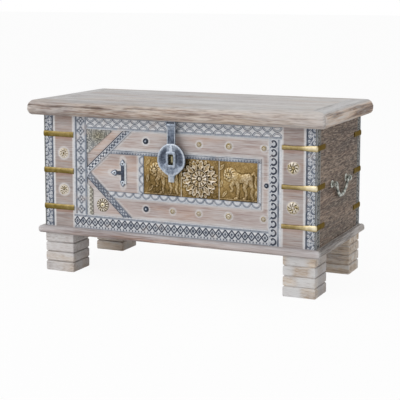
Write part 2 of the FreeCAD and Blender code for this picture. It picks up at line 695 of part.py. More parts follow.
# Hasp: rolled eye, strap, oval plate with a raised slotted box, and a tail; drawn from its pin
hasp = new_body("hasp")
sheet_t = size("hasp_sheet")
eye_r = size("hasp_eye_radius")
eye_x = size("hasp_eye_wide") / 2
strap_x = size("hasp_strap") / 2
oval_x = size("hasp_wide") / 2
oval_z = size("hasp_tall") / 2
oval_mid = -size("hasp_strap_long") - oval_z * 0.9
oval = []
for step in range(40):
    angle = math.pi * 2 * step / 40
    oval.append((oval_x * math.cos(angle), oval_mid + oval_z * math.sin(angle)))
pad(hasp, "hasp_oval", "XZ_Plane", -sheet_t / 2, [oval], "Sizes.hasp_sheet")
strap_low = -size("hasp_strap_long") - size("hasp_lap")
strap_top = -size("hasp_pin_radius") - 1.2
pad(hasp, "hasp_strap_pad", "XZ_Plane", -sheet_t / 2, [rect(-strap_x, strap_x, strap_low, strap_top)],
    "Sizes.hasp_sheet")
pad(hasp, "hasp_eye", "YZ_Plane", -eye_x, [circle(eye_r, 0, 0)], "Sizes.hasp_eye_wide")
tail_x = size("hasp_tail") / 2
tail_low = oval_mid - oval_z - size("hasp_tail_long")
tail = rect(-tail_x, tail_x, tail_low, oval_mid - oval_z + size("hasp_lap") / 2)
pad(hasp, "hasp_tail_pad", "XZ_Plane", -sheet_t / 2, [tail], "Sizes.hasp_sheet")
slot_mid = -size("hasp_strap_long") - size("hasp_tall") * 0.44
slot_x = size("hasp_slot_wide") / 2
slot_z = size("hasp_slot_tall") / 2
lip = size("hasp_rim")
raised = rect(-slot_x - lip, slot_x + lip, slot_mid - slot_z - lip, slot_mid + slot_z + lip)
pad(hasp, "hasp_raised", "XZ_Plane", sheet_t / 2 - 0.5, [raised], "Sizes.hasp_box + 0.5")
slot = rect(-slot_x, slot_x, slot_mid - slot_z, slot_mid + slot_z)
pocket(hasp, "hasp_slot", "XZ_Plane", sheet_t + size("hasp_box") + 1, [slot])
pocket(hasp, "hasp_bore", "YZ_Plane", oval_x + 1, [circle(size("hasp_pin_radius") + size("pin_fit"), 0, 0)])
bind(hasp, "0", HASP_Y, HASP_Z)

# Drop handles: rosette plates with eyes on the sides, and a bail whose ends turn in them
for side, sign, way in (("left", "-", "-X"), ("right", "", "+X")):
    face = sign + HALF
    axis_x = "%s(%s + Sizes.handle_out)" % (sign, HALF)
    eyes = []
    for end, y_sign in (("front", "-"), ("back", "+")):
        name = "%s_%s" % (side, end)
        y = SIDE_MID + " %s Sizes.handle_reach" % y_sign
        lug_x = (HALF, HALF + " + Sizes.handle_out + Sizes.bail_bar + 3")
        if sign:
            lug_x = ("-(%s)" % lug_x[1], "-(%s)" % lug_x[0])
        solid = fuse("eye_solid_" + name, [
            rod("eye_plate_" + name, way, "Sizes.eye_plate", "3", face, y, HANDLE_Z),
            box("eye_lug_" + name, lug_x[0], lug_x[1], y + " - Sizes.eye_lug / 2", y + " + Sizes.eye_lug / 2",
                HANDLE_Z + " - Sizes.bail_bar - 3", HANDLE_Z + " + Sizes.bail_bar + 3"),
        ])
        hole = rod("eye_hole_" + name, "+Y", "Sizes.bail_bar + Sizes.pin_fit", "Sizes.eye_lug + 2",
                   axis_x, y + " - Sizes.eye_lug / 2 - 1", HANDLE_Z)
        eyes.append(cut("eye_" + name, solid, hole))
    group("handle_eyes_" + side, eyes)

    bail = new_body("bail_" + side)
    end_y = size("handle_reach") + size("eye_lug") / 2 + 1
    knee_y = size("handle_reach") - size("eye_lug") / 2 - 2 * size("bail_bar")
    low_y = size("bail_bottom")
    drop = -size("bail_drop")
    route = [(-end_y, 0), (-knee_y, 0), (-low_y, drop), (low_y, drop), (knee_y, 0), (end_y, 0)]
    spine = draw(bail, "bail_route_" + side, "YZ_Plane", 0, [])
    for a, b in zip(route, route[1:]):
        spine.addGeometry(Part.LineSegment(Vector(a[0], a[1], 0), Vector(b[0], b[1], 0)), False)
    ring = draw(bail, "bail_ring_" + side, "XZ_Plane", end_y, [circle(size("bail_bar"), 0, 0)])
    pipe = bail.newObject("PartDesign::AdditivePipe", "bail_pipe_" + side)
    pipe.Profile = ring
    pipe.Spine = spine
    pipe.Transition = "Right corner"
    bind(bail, axis_x, SIDE_MID, HANDLE_Z)

doc.recompute()

# Every object is sound before anything is written
for item in doc.Objects:
    if "Invalid" in item.State or "Error" in item.State:
        raise ValueError("%s failed" % item.Name)
for node in nodes:
    if node.Shape.isNull() or not node.Shape.isValid():
        raise ValueError("%s has no sound shape" % node.Label)
os.makedirs("parts", exist_ok=True)
for node in nodes:
    node.Shape.exportStep("parts/%s.step" % node.Label)
print(len(nodes), "pieces")
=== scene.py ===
import functools
import math

import bmesh
import bpy
import numpy as np
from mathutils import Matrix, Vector
from numpy import clip, cos, exp, hypot, linspace, pi, radians, sin, where


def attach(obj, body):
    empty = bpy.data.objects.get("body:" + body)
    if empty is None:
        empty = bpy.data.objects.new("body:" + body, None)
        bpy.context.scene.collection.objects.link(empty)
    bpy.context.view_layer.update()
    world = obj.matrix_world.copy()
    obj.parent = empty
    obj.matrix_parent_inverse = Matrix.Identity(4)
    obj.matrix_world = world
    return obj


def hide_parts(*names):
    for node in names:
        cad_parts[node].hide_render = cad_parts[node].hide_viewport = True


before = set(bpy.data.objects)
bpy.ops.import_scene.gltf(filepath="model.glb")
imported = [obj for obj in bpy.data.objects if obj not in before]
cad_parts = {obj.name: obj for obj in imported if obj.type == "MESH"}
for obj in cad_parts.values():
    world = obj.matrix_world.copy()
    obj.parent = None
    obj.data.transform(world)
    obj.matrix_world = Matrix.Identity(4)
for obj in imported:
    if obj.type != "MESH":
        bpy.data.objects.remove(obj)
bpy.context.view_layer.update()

# Main planes of the chest, in millimetres
FRONT = -181
BACK = 211
HALF = 412.5
FACE = -176
FOOT_HIGH = 112
FLOOR = 133
RIM = 456
UNDER = 456.4
TOP = 499.4
POST = 32

# Edges of the carved frame, of the chevron in it, and of the brass panels with their inner border
STILE = 316
LEFT = -274
RIGHT = 279
LOW = 174
HIGH = 420
CHEVRON = (-264.5, 297)
CHEVRON_IN = -131
CHEVRON_OUT = -158
INLAY_LOW = 228
INLAY_HIGH = 366
INLAY_RIGHT = 256.5
PANEL_LOW = 246
PANEL_HIGH = 353
PANEL_WIDE = 113.5

SIDES = (("left", -1), ("right", 1))
CORNERS = (("front_left", -1, -1, FRONT), ("front_right", 1, -1, FRONT), ("back_left", -1, 1, BACK),
           ("back_right", 1, 1, BACK))


# Materials
def tint(colour):
    """A colour written as it looks on screen, 0 to 255."""
    share = np.array(colour) / 255
    straight = where(share <= 0.04045, share / 12.92, ((share + 0.055) / 1.055) ** 2.4)
    return (*straight.tolist(), 1.0)


class Paint:
    """A material whose nodes are added one call at a time."""

    def __init__(self, name, slot):
        self.material = bpy.data.materials.new(name)
        self.material.use_nodes = True
        self.tree = self.material.node_tree
        self.shader = self.tree.nodes["Principled BSDF"]
        self.place = self.tree.nodes.new("ShaderNodeTexCoord").outputs["Object"]

    def feed(self, socket, value):
        if isinstance(value, bpy.types.NodeSocket):
            self.tree.links.new(value, socket)
        else:
            socket.default_value = value

    def add(self, kind, inputs, **settings):
        node = self.tree.nodes.new("ShaderNode" + kind)
        for key, value in settings.items():
            setattr(node, key, value)
        for key, value in inputs.items():
            self.feed(node.inputs[key], value)
        return node

    def noise(self, scale, detail, rough=0.6, stretch=(1, 1, 1), shift=(0, 0, 0)):
        spot = self.add("Mapping", {"Vector": self.place, "Scale": stretch, "Location": shift})
        inputs = {"Vector": spot.outputs[0], "Scale": scale, "Detail": detail, "Roughness": rough}
        return self.add("TexNoise", inputs).outputs["Fac"]

    def ramp(self, value, places, colours):
        node = self.add("ValToRGB", {"Fac": value})
        stops = node.color_ramp.elements
        while len(stops) < len(colours):
            stops.new(0.5)
        for stop, place, colour in zip(stops, places, colours):
            stop.position = place
            stop.color = tint(colour)
        return node.outputs["Color"]

    def level(self, value, low, high, start=0, end=1):
        inputs = {"Value": value, "From Min": low, "From Max": high, "To Min": start, "To Max": end}
        return self.add("MapRange", inputs).outputs["Result"]

    def plus(self, a, b, operation="ADD"):
        return self.add("Math", {0: a, 1: b}, operation=operation, use_clamp=True).outputs[0]

    def times(self, a, b):
        return self.plus(a, b, "MULTIPLY")

    def mix(self, amount, first, second):
        """Blend a socket's colour towards a second socket or a written colour."""
        if isinstance(second, tuple):
            second = tint(second)
        return self.add("Mix", {0: amount, 6: first, 7: second}, data_type="RGBA").outputs[2]

    def read(self, name):
        return self.add("Attribute", {}, attribute_name=name).outputs["Fac"]

    def bump(self, height, strength, distance):
        inputs = {"Height": height, "Strength": strength, "Distance": distance}
        self.feed(self.shader.inputs["Normal"], self.add("Bump", inputs).outputs["Normal"])

    def done(self, colour, roughness, metallic=0):
        self.feed(self.shader.inputs["Base Color"], colour)
        self.feed(self.shader.inputs["Roughness"], roughness)
        self.feed(self.shader.inputs["Metallic"], metallic)
        return self.material


def wood(name, slot, palette, lime, lime_share, way, edge_palette=None, length=0.05, stains=(), fibres=0.3,
         spread=(0.2, 0.8), scale=105, fade=None, flecks=None):
    """Brushed wood: streaks along the grain, fine fibres and flecks, and lime and stains left in patches;
    fade, where given, paints light or shade as a blend towards a colour along one axis.
    """
    paint = Paint(name, slot)
    level = paint.level

    def drawn(share):
        return tuple(share if axis == way else 1 for axis in "XYZ")

    def coloured(colours, low, high):
        return paint.ramp(body, linspace(low, high, len(colours)), colours)

    streak = paint.noise(scale, 4, 0.6, drawn(length))
    broad = paint.noise(26, 3, 0.5, drawn(length), (3.1, 1.7, 0.4))
    fibre = paint.noise(430, 2, 0.6, drawn(length))
    cloud = paint.noise(11, 4, 0.6, drawn(0.3))
    body = paint.plus(level(streak, 0.25, 0.75, 0, 0.55), level(broad, 0.3, 0.7, 0, 0.45))
    colour = coloured(palette, *spread)
    if edge_palette:
        colour = paint.mix(paint.read("edge"), colour, coloured(edge_palette, 0.34, 0.66))
    for i, (stain, share) in enumerate(stains):
        blot = paint.noise(16, 3, 0.6, drawn(0.3), (0.7 + 1.9 * i, 2.3 - 0.8 * i, 1.1 + i))
        colour = paint.mix(level(blot, 0.47, 0.64, 0, share), colour, stain)
    # Painted light or shade: a blend towards a paler or darker colour along one axis of the object
    if fade:
        axis, low, high, share, shade = fade
        spot = paint.add("SeparateXYZ", {"Vector": paint.place}).outputs[axis]
        colour = paint.mix(level(spot, low, high, 0, share), colour, shade)
    patch = paint.times(cloud, level(fibre, 0.2, 0.75))
    colour = paint.mix(level(patch, 0.12, 0.42, 0, lime_share), colour, lime)
    wash = paint.times(paint.read("wash"), level(cloud, 0.25, 0.6, 0.55))
    colour = paint.mix(wash, colour, (222, 221, 221))
    colour = paint.mix(paint.read("rust"), colour, (178, 126, 98))
    # Darkening towards brown: dirt, and painted shade on faces the pieces mark as shaded
    dirt = paint.times(paint.read("dirt"), level(streak, 0.38, 0.6, 0.45, 1.15))
    colour = paint.mix(dirt, colour, (80, 66, 58))
    colour = paint.mix(level(fibre, 0.3, 0.46, fibres, 0), colour, (100, 84, 76))
    if flecks:
        size, reach, dark_share, pale_share, dark, pale = flecks
        fleck = paint.noise(size, 2, 0.6, drawn(reach), (5, 2, 1))
        low = level(fleck, 0.36, 0.48, dark_share, 0)
        high = level(fleck, 0.54, 0.66, 0, pale_share)
        if edge_palette:
            low = paint.times(low, paint.read("edge"))
            high = paint.times(high, paint.read("edge"))
        colour = paint.mix(high, paint.mix(low, colour, dark), pale)
    paint.bump(paint.plus(level(fibre, 0.2, 0.8, 0, 0.5), level(streak, 0.2, 0.8, 0, 0.5)), 0.35, 0.0008)
    return paint.done(colour, level(fibre, 0.2, 0.8, 0.78, 0.58))


def carved_paint():
    """Carving washed blue grey, rubbed pale on the raised parts, with the wood showing through."""
    paint = Paint("carved_wash", "carved_wood")
    mottle = paint.noise(150, 3)
    worn = paint.noise(34, 3, shift=(0.3, 0.9, 0.2))
    tone = paint.plus(paint.read("tone"), paint.level(mottle, 0.25, 0.75, -0.13, 0.13))
    blue = paint.ramp(tone, (0, 0.3, 0.6, 1),
                      [(52, 58, 72), (104, 112, 126), (160, 166, 176), (224, 225, 228)])
    olive = paint.ramp(tone, (0, 0.35, 0.65, 1),
                       [(70, 66, 52), (120, 114, 92), (168, 160, 132), (208, 202, 182)])
    colour = paint.mix(paint.read("olive"), blue, olive)
    colour = paint.mix(paint.level(worn, 0.55, 0.75, 0, 0.35), colour, (196, 178, 166))
    paint.bump(mottle, 0.3, 0.0006)
    return paint.done(colour, paint.level(worn, 0.3, 0.7, 0.82, 0.62))


def brass_paint(name, lowest, highest, colours):
    """Aged sheet brass: dark in the hollows, rubbed bright on the raised parts, with traces of lime."""
    paint = Paint(name, "brass_sheet")
    mottle = paint.noise(90, 4)
    smear = paint.noise(24, 3, shift=(1.3, 0.2, 0.7))
    tone = paint.plus(paint.read("tone"), paint.level(mottle, 0.25, 0.75, -0.16, 0.16))
    chalk = paint.times(paint.read("chalk"), paint.level(mottle, 0.35, 0.6))
    colour = paint.mix(chalk, paint.ramp(tone, (0, 0.35, 0.7, 1), colours), (206, 198, 187))
    colour = paint.mix(paint.level(smear, 0.55, 0.72, 0, 0.3), colour, (112, 94, 54))
    paint.bump(mottle, 0.25, 0.0007)
    paint.shader.inputs["Specular Tint"].default_value = tint((196, 180, 118))
    return paint.done(colour, paint.level(smear, 0.3, 0.7, lowest, highest), 0.82)


def iron_paint(name, colours, places=(0, 0.3, 0.62, 1)):
    """Blued iron, dark where it is dished and worn pale on its rims."""
    paint = Paint(name, "iron")
    mottle = paint.noise(160, 4, 0.65)
    patch = paint.noise(38, 3, shift=(0.4, 0.1, 0.6))
    tone = paint.plus(paint.read("tone"), paint.level(mottle, 0.25, 0.75, -0.26, 0.28))
    colour = paint.ramp(tone, places, colours)
    colour = paint.mix(paint.level(patch, 0.58, 0.74, 0, 0.35), colour, (70, 70, 66))
    paint.bump(mottle, 0.35, 0.0008)
    return paint.done(colour, paint.level(patch, 0.3, 0.7, 0.5, 0.34), 0.62)


LIME = (205, 201, 200)
MAUVE = (160, 144, 144)
GREY = [(140, 134, 131), (177, 174, 173), (198, 196, 196), (210, 209, 209)]
front_wood = wood("limed_front", "limed_wood",
                  [(150, 127, 119), (174, 152, 144), (188, 170, 164), (200, 187, 183)], LIME, 0.75, "X",
                  [(150, 118, 102), (182, 150, 132), (196, 168, 152), (206, 186, 176)],
                  stains=(((198, 162, 140), 0.6), (MAUVE, 0.5)), fibres=0.2)
rail_wood = wood("limed_rail", "limed_wood",
                 [(84, 76, 71), (146, 137, 129), (202, 194, 187), (224, 219, 215)], LIME, 0.5, "Y",
                 spread=(0.3, 0.7))
moulding_wood = wood("limed_moulding", "limed_wood",
                     [(136, 122, 118), (172, 162, 160), (192, 185, 185), (204, 199, 201)],
                     (206, 204, 207), 0.5, "X",
                     [(120, 86, 72), (174, 136, 116), (194, 162, 144), (206, 186, 174)],
                     stains=((MAUVE, 0.25),))
foot_wood = wood("limed_foot", "limed_wood",
                 [(140, 128, 122), (182, 172, 167), (202, 195, 192), (212, 207, 206)],
                 (216, 214, 214), 0.7, "X",
                 [(170, 142, 112), (220, 196, 168), (240, 222, 200), (246, 238, 228)],
                 0.14, (((196, 168, 132), 0.55),), 0.25)
# Painted light: the fade makes the lid's wood paler towards the right
lid_wood = wood("limed_lid", "lid_wood", GREY, (208, 207, 207), 0.6, "X",
                [(88, 66, 58), (150, 124, 106), (180, 155, 136), (204, 188, 174)], 0.055,
                (((184, 152, 116), 0.4), (MAUVE, 0.4)), 0.38, fade=("X", -0.15, 0.45, 0.34, (230, 224, 217)),
                flecks=(330, 0.08, 0.5, 0.36, (98, 72, 66), (222, 212, 206)))
# Painted light: the lid's side rails take a copy of the lid wood with a brighter edge palette, making up for
# the shade on them
lid_side_wood_painted_light = wood("limed_lid_side_painted_light", "lid_wood", GREY, (208, 207, 206), 0.5, "Y",
                     [(122, 92, 72), (210, 180, 154), (240, 216, 196), (246, 234, 224)])
# Painted shadow of the lid: the fade darkens the side panels towards their tops
side_wood = wood("worn_side_painted_shadow", "side_wood", [(36, 25, 20), (78, 58, 47), (116, 91, 76), (182, 158, 138)],
                 (178, 160, 141), 0.5, "Y", length=0.07, fibres=0.6, spread=(0.28, 0.74), scale=190,
                 fade=("Z", 0.2, 0.44, 0.5, (56, 41, 34)),
                 flecks=(250, 0.16, 0.75, 0.4, (44, 30, 24), (206, 188, 174)))
back_wood = wood("worn_back", "side_wood", [(88, 74, 66), (120, 104, 95), (146, 130, 121), (166, 152, 144)],
                 (180, 172, 166), 0.45, "X")
carved_wood = carved_paint()
panel_brass = brass_paint("embossed_brass", 0.5, 0.34,
                          [(64, 50, 27), (142, 117, 74), (188, 166, 118), (226, 214, 188)])
strap_brass = brass_paint("strap_brass", 0.46, 0.3,
                          [(92, 76, 0), (142, 125, 84), (190, 174, 136), (226, 216, 190)])
fitting_brass = brass_paint("fitting_brass", 0.55, 0.42,
                            [(62, 54, 36), (150, 132, 88), (204, 190, 146), (232, 226, 206)])
iron = iron_paint("worn_iron", [(55, 62, 76), (104, 114, 130), (162, 171, 184), (210, 213, 216)])
handle_iron = iron_paint("handle_iron", [(54, 57, 54), (102, 107, 102), (164, 169, 162), (220, 221, 214)])
# Olive tarnish on the staple, painted pale to stand in for light inside the shaded slot of the hasp
staple_tarnish_and_light = iron_paint("staple_tarnish_painted_light", [(150, 144, 112), (180, 174, 144), (212, 208, 188)], (0, 0.4, 1))


# Meshes
def make(name, parts, material, bend=0.7, body="carcass", node=None):
    """One piece from several shells; it stands for the solid of its own name less the last word."""
    points = []
    faces = []
    count = 0
    for part in parts:
        points.append(np.asarray(part["points"], float))
        faces.extend([tuple(i + count for i in face) for face in part["faces"]])
        count += len(part["points"])
    mesh = bpy.data.meshes.new(name)
    mesh.from_pydata((np.concatenate(points) * 0.001).tolist(), [], faces)
    work = bmesh.new()
    work.from_mesh(mesh)
    bmesh.ops.recalc_face_normals(work, faces=work.faces)
    work.to_mesh(mesh)
    work.free()
    for key in sorted({key for part in parts for key in part} - {"points", "faces"}):
        columns = []
        for part in parts:
            values = np.asarray(part.get(key, 0), float)
            columns.append(np.broadcast_to(values, len(part["points"])))
        attribute = mesh.attributes.new(key, "FLOAT", "POINT")
        attribute.data.foreach_set("value", np.concatenate(columns).astype(np.float32))
    mesh.shade_smooth()
    mesh.set_sharp_from_angle(angle=bend)
    mesh.materials.append(material)
    piece = bpy.data.objects.new(name, mesh)
    bpy.context.scene.collection.objects.link(piece)
    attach(piece, body)
    if node is None:
        node = name.rpartition("_")[0]
    if node:
        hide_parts(node)


def smooth(low, high, value):
    """0 below low, 1 above high and a soft step between them."""
    share = clip((value - low) / (high - low), 0, 1)
    return share * share * (3 - 2 * share)


def fall(low, high, value):
    return 1 - smooth(low, high, value)


def groove(distance, wide, soft=0.5):
    """1 on a line of that width, 0 away from it."""
    return fall(wide / 2 - soft, wide / 2 + soft, abs(distance))


def hump(distance, radius):
    return clip(1 - (distance / radius) ** 2, 0, 1)


def dome(distance, radius):
    return np.sqrt(hump(distance, radius))


def most(*values):
    return functools.reduce(np.maximum, values)


def turns(count):
    """Angles of so many points round a circle."""
    return linspace(0, 2 * pi, count, endpoint=False)


def segment(u, v, start, end):
    """How far along a segment each place lies, 0 to 1, and its distance from it."""
    du, dv = end[0] - start[0], end[1] - start[1]
    share = clip(((u - start[0]) * du + (v - start[1]) * dv) / (du * du + dv * dv), 0, 1)
    return share, hypot(u - start[0] - share * du, v - start[1] - share * dv)


def curve_distance(u, v, points):
    """Distance to a line through these points."""
    return functools.reduce(np.minimum, [segment(u, v, a, b)[1] for a, b in zip(points, points[1:])])


def placed(view, x, z, deep):
    """Points on a face that looks along view: x aside, z up, and deep inward from the chest's middle."""
    outward = np.array(view, float)
    aside = abs(outward[[1, 0, 2]])
    upward = np.array((0, 0, 1))
    return x[..., None] * aside + z[..., None] * upward - deep[..., None] * outward


TO_FRONT = (0, -1, 0)


def relief(corners, face, back, step, pattern, view=TO_FRONT):
    """A plate between two edges whose face is carved by a pattern; corners are edge a, then edge b."""
    (ax, az), (cx, cz), (bx, bz), (dx, dz) = corners
    first = hypot(cx - ax, cz - az)
    long = max(first, hypot(dx - bx, dz - bz))
    wide = max(hypot(bx - ax, bz - az), hypot(dx - cx, dz - cz))
    across = abs((bx - ax) * (cz - az) - (bz - az) * (cx - ax)) / first
    rows = max(3, math.ceil(long / step) + 1)
    columns = max(3, math.ceil(wide / step) + 1)
    s, t = np.meshgrid(linspace(0, 1, rows), linspace(0, 1, columns), indexing="ij")
    x = (ax + (cx - ax) * s) * (1 - t) + (bx + (dx - bx) * s) * t
    z = (az + (cz - az) * s) * (1 - t) + (bz + (dz - bz) * s) * t
    u = ((x - ax) * (cx - ax) + (z - az) * (cz - az)) / first
    depth, shares = pattern(u, t * across, long, across, x, z)
    front = placed(view, x, z, face + depth).reshape(-1, 3)
    index = np.arange(rows * columns).reshape(rows, columns)
    rim = np.concatenate([index[0, :-1], index[:-1, -1], index[-1, :0:-1], index[:0:-1, 0]])
    behind = placed(view, x, z, np.full(x.shape, back)).reshape(-1, 3)[rim]
    corner = index[:-1, :-1].reshape(-1)
    faces = np.column_stack([corner, corner + 1, corner + columns + 1, corner + columns]).tolist()
    below = rows * columns + np.arange(len(rim))
    faces += np.column_stack([rim, np.roll(rim, -1), np.roll(below, -1), below]).tolist()
    faces.append(below.tolist())
    full = {}
    for key, values in shares.items():
        values = np.broadcast_to(values, x.shape).reshape(-1)
        full[key] = np.concatenate([values, values[rim]])
    return dict(points=np.concatenate([front, behind]), faces=faces, **full)


def strip(x0, x1, z0, z1, upright=False, flip=False):
    """Corners of a straight strip: u runs along it, v across it."""
    if upright:
        near, far = (x1, x0) if flip else (x0, x1)
        return (near, z0), (near, z1), (far, z0), (far, z1)
    return (x0, z0), (x1, z0), (x0, z1), (x1, z1)


def loft(rings, closed=False, **shares):
    """A skin over a row of closed rings."""
    count = len(rings[0])
    faces = []
    for i in range(len(rings) - (not closed)):
        a = i * count
        b = (i + 1) % len(rings) * count
        for j in range(count):
            k = (j + 1) % count
            faces.append((a + j, a + k, b + k, b + j))
    if not closed:
        last = (len(rings) - 1) * count
        faces += [range(count), range(last, last + count)]
    return dict(points=np.concatenate([np.asarray(ring, float) for ring in rings]), faces=faces, **shares)


def tube(path, radii, sides=14, **shares):
    """A round bar along a path, with a radius at each of its points."""
    path = [Vector(p) for p in path]
    side = (path[1] - path[0]).normalized().orthogonal().normalized()
    rings = []
    for i, spot in enumerate(path):
        ahead = (path[min(i + 1, len(path) - 1)] - path[max(i - 1, 0)]).normalized()
        side = (side - ahead * side.dot(ahead)).normalized()
        other = ahead.cross(side)
        rings.append([spot + (side * cos(a) + other * sin(a)) * radii[i] for a in turns(sides)])
    return loft(rings, **shares)


def spline(points, per=8):
    """A smooth line through a few points."""
    spots = [np.asarray(p, float) for p in points]
    spots = [2 * spots[0] - spots[1]] + spots + [2 * spots[-1] - spots[-2]]
    line = []
    for a, b, c, d in zip(spots, spots[1:], spots[2:], spots[3:]):
        for t in np.arange(per) / per:
            line.append(0.5 * (2 * b + (c - a) * t + (2 * a - 5 * b + 4 * c - d) * t * t
                               + (3 * b - a - 3 * c + d) * t ** 3))
    return line + [spots[-2]]


def disc(centre, radius, height, view=TO_FRONT, rings=14, sides=64):
    """A round fitting whose height and shares come from radius and angle."""
    angles = turns(sides)
    levels = []
    shares = {}
    for i in range(rings + 1):
        r = np.full(sides, radius * max(i / rings, 0.02))
        tall, extra = height(r, angles)
        x = centre[0] + r * cos(angles)
        z = centre[1] + r * sin(angles)
        levels.append(placed(view, x, z, centre[2] - tall))
        for key, values in extra.items():
            shares.setdefault(key, []).append(np.broadcast_to(values, (sides,)))
    levels.append(placed(view, x, z, np.full(sides, centre[2] + 0.3)))
    return loft(levels, **{key: np.concatenate(values + values[-1:]) for key, values in shares.items()})


# Carved patterns: depth below the face in millimetres, and the tone of the wash
def grain_depth(x, z):
    return 0.14 * (1 + sin(z * 1.9 + 1.4 * sin(x * 0.017) + 0.8 * sin(z * 0.31 + x * 0.006)))


def cut(depth, tone, dark, deep, ink=0):
    """Dark lines cut into a face: their depth, and their ink in its tone."""
    return most(depth, deep * dark), {"tone": tone * (1 - dark) + ink * dark}


def repeats(u, long, size):
    """The whole pitch nearest to a size, and the distance from the middle of each repeat."""
    pitch = long / round(long / size)
    return pitch, u % pitch - pitch / 2


def arcs_pattern(u, v, long, wide, x, z):
    """Grey arcs round white four-pointed stars, with white half lenses above and below."""
    w = repeats(u, long, 27.9)[1]
    near = np.minimum(hypot(w, v - 3.5), hypot(w, 34.5 - v))
    band = fall(14.2, 14.8, near) * smooth(10, 10.8, near)
    lines = most(groove(near - 14.5, 1.3), 0.9 * groove(near - 10.6, 1.1))
    margin = (v < 6.6) | (v > 31.6)
    # Painted shade: the top margin, under the lid, keeps a darker tone than the bottom margin
    tone = where(v > 31.6, 0.5, 1 - 0.16 * band)
    tone = where(v < 6.6, where(v < 2.4, 0.86, 0.64), tone)
    dark = most(lines * ~margin, 0.7 * groove(v - 6.2, 1.2), 0.5 * groove(v - 2.4, 1, 0.3))
    return cut(where(margin, 0.7, 0.1 + band), tone, dark, 1.7, 0.06)


def tiles_pattern(u, v, long, wide, x, z):
    """A column of dark four-lobed flowers on pale blue, each between peaked lines."""
    pitch, s = repeats(u, long, 28.2)
    dv = v - 23.6
    r = hypot(s, dv)
    norm = abs(dv) / 13.4 + abs(s) / (pitch / 2)
    inside = fall(0.92, 1, norm)
    flower = most(groove(r - 8 - 2.2 * cos(4 * np.arctan2(dv, s)), 2.3), fall(2.2, 3.2, r))
    lines = most(flower, 0.42 * groove((norm - 1) * 9.4, 1.9))
    middle = (v > 10.8) & (v < 37.2)
    tone = where(middle, 0.83 - 0.08 * inside, where(v < 5, 0.88, 0.44))
    dark = most(lines * middle, 0.75 * groove(v - 9, 2.8, 0.8))
    depth = where(middle, 0.2 + 0.4 * inside, where((v < 5) | (v > 39.5), 0.2, 0.9))
    return cut(depth, tone, dark, 1.6, 0.08)


def diamonds_pattern(u, v, long, wide, x, z):
    """A row of tall dark-lined diamonds with white corners, over a comb of short cuts."""
    pitch, w = repeats(u, long, 19.4)
    c = v - 20.4
    norm = abs(w) / (pitch / 2) + abs(c) / 12
    middle = abs(c) < 12.4
    line = groove((norm - 1) * 7.4, 3.2) * middle
    worn = 0.12 * smooth(0.1, 0.9, sin(u * 0.051 + 1.3 * sin(u * 0.023)))
    small = fall(0.28 + worn, 0.46 + worn, norm)
    comb = groove(u % (pitch / 2) - pitch / 4, 2.8, 0.8) * (v > 2.8) * (v < 7.4)
    tone = where(norm > 1, where(c > 0, 1, 0.9), 0.8)
    tone = where(middle, tone, where((v < 8) | (v > 38.4), 0.86, 0.52))
    mitre = groove(x + STILE - 1.02 * (z - FLOOR), 2.4)
    rims = most(groove(v - 0.6, 1.6), groove(v - 37.8, 1.2, 0.3))
    dark = most(line, 0.85 * small, 0.85 * comb, 0.6 * mitre, 0.6 * rims)
    return cut(where(middle & (norm > 1), 0.2, 0.5), tone, dark, 1.8, 0.03)


def scrolls_pattern(u, v, long, wide, x, z):
    """A column of dark crooks, each curled in at its upper end, with a soft line beside it."""
    w = u % (long / round(long / 24.2))
    heavy = curve_distance(w, v, [(5.2, 8.6), (3.4, 11), (3.4, 14.4), (5.6, 18.6), (9.4, 21), (13.4, 20.8)])
    light = curve_distance(w, v, [(13.4, 20.8), (17.6, 18.8), (20, 15), (20.2, 11.2), (18.2, 8.8),
                                  (16.2, 10.2)])
    link = curve_distance(w, v, [(1, 4), (4.4, 7.4)])
    halo = fall(3, 4.4, np.minimum(heavy, light))
    broken = 0.52 + 0.28 * sin(u * 0.09 + 1.2 * sin(u * 0.041))
    dark = most(fall(2.1, 3, heavy), fall(1.5, 2.4, light), 0.7 * fall(0.7, 1.8, link),
                broken * groove(v - 27.4, 3.8, 1.2))
    tone = where(v < 25, 0.78 + 0.16 * halo, where(v > 30.4, 0.92, 0.7))
    depth = where(v < 25, 0.6 - 0.4 * halo, where(v > 30.5, 0.1, 0.6))
    return cut(depth, tone, dark, 2.1)


def dotted_pattern(u, v, long, wide, x, z):
    """The upper strip of the chevron: a black line, two rows of dark and white teeth and a pale edge."""
    check = sin(u * 0.52 + 0.8 * sin(u * 0.13)) * sin((v - 4.4) * 0.62 + 0.3 * sin(u * 0.19))
    tooth = smooth(-0.2, 0.3, check)
    row = (v > 4.4) & (v < 14.6)
    bright = 0.84 - 0.24 * smooth(50, 110, u)
    tone = where(row, 0.12 + bright * tooth, where(v < 4.4, 0.82, 0.72))
    return cut(where(row, 1.4 - 1.2 * tooth, 0.4), tone, groove(v - 1.2, 2.8), 1.8)


def muted_pattern(u, v, long, wide, x, z):
    """The lower strip of the chevron: worn dark and light cuts between soft lines."""
    check = sin(u * 0.48 + 0.9 * sin(u * 0.13)) * sin(v * 0.6 + 0.6 * sin(u * 0.21))
    tooth = smooth(-0.1, 0.6, check)
    rim = most(groove(v - 1.4, 2.2), 0.6 * groove(v - 16.4, 1.6))
    tone = 0.24 + 0.44 * tooth + 0.1 * sin(u * 0.09 + 1.4 * sin(u * 0.05))
    return cut(1.1 - 0.8 * tooth, where(v > 17.2, 0.72, tone), rim, 1.5, 0.12)


def zigzag_pattern(u, v, long, wide, x, z):
    """A pale zigzag with dots in its bends, under a pale edge."""
    pitch = 8.4
    w = u % pitch - pitch / 2
    zig = groove(v - 2.4 - 6.4 * abs(w) / (pitch / 2), 2.4, 0.8)
    raised = most(zig, fall(1.1, 2.2, hypot(w, v - 7.6)))
    top = v > wide - 2.4
    fade = 0.12 * sin(u * 0.07 + 1.1 * sin(u * 0.023))
    tone = where(top, 0.84, 0.3 + fade + 0.52 * raised)
    return cut(where(top, 0.1, 1.1 - 0.9 * raised), tone, 0.7 * groove(v - wide + 3, 1.2, 0.3), 1.3, 0.1)


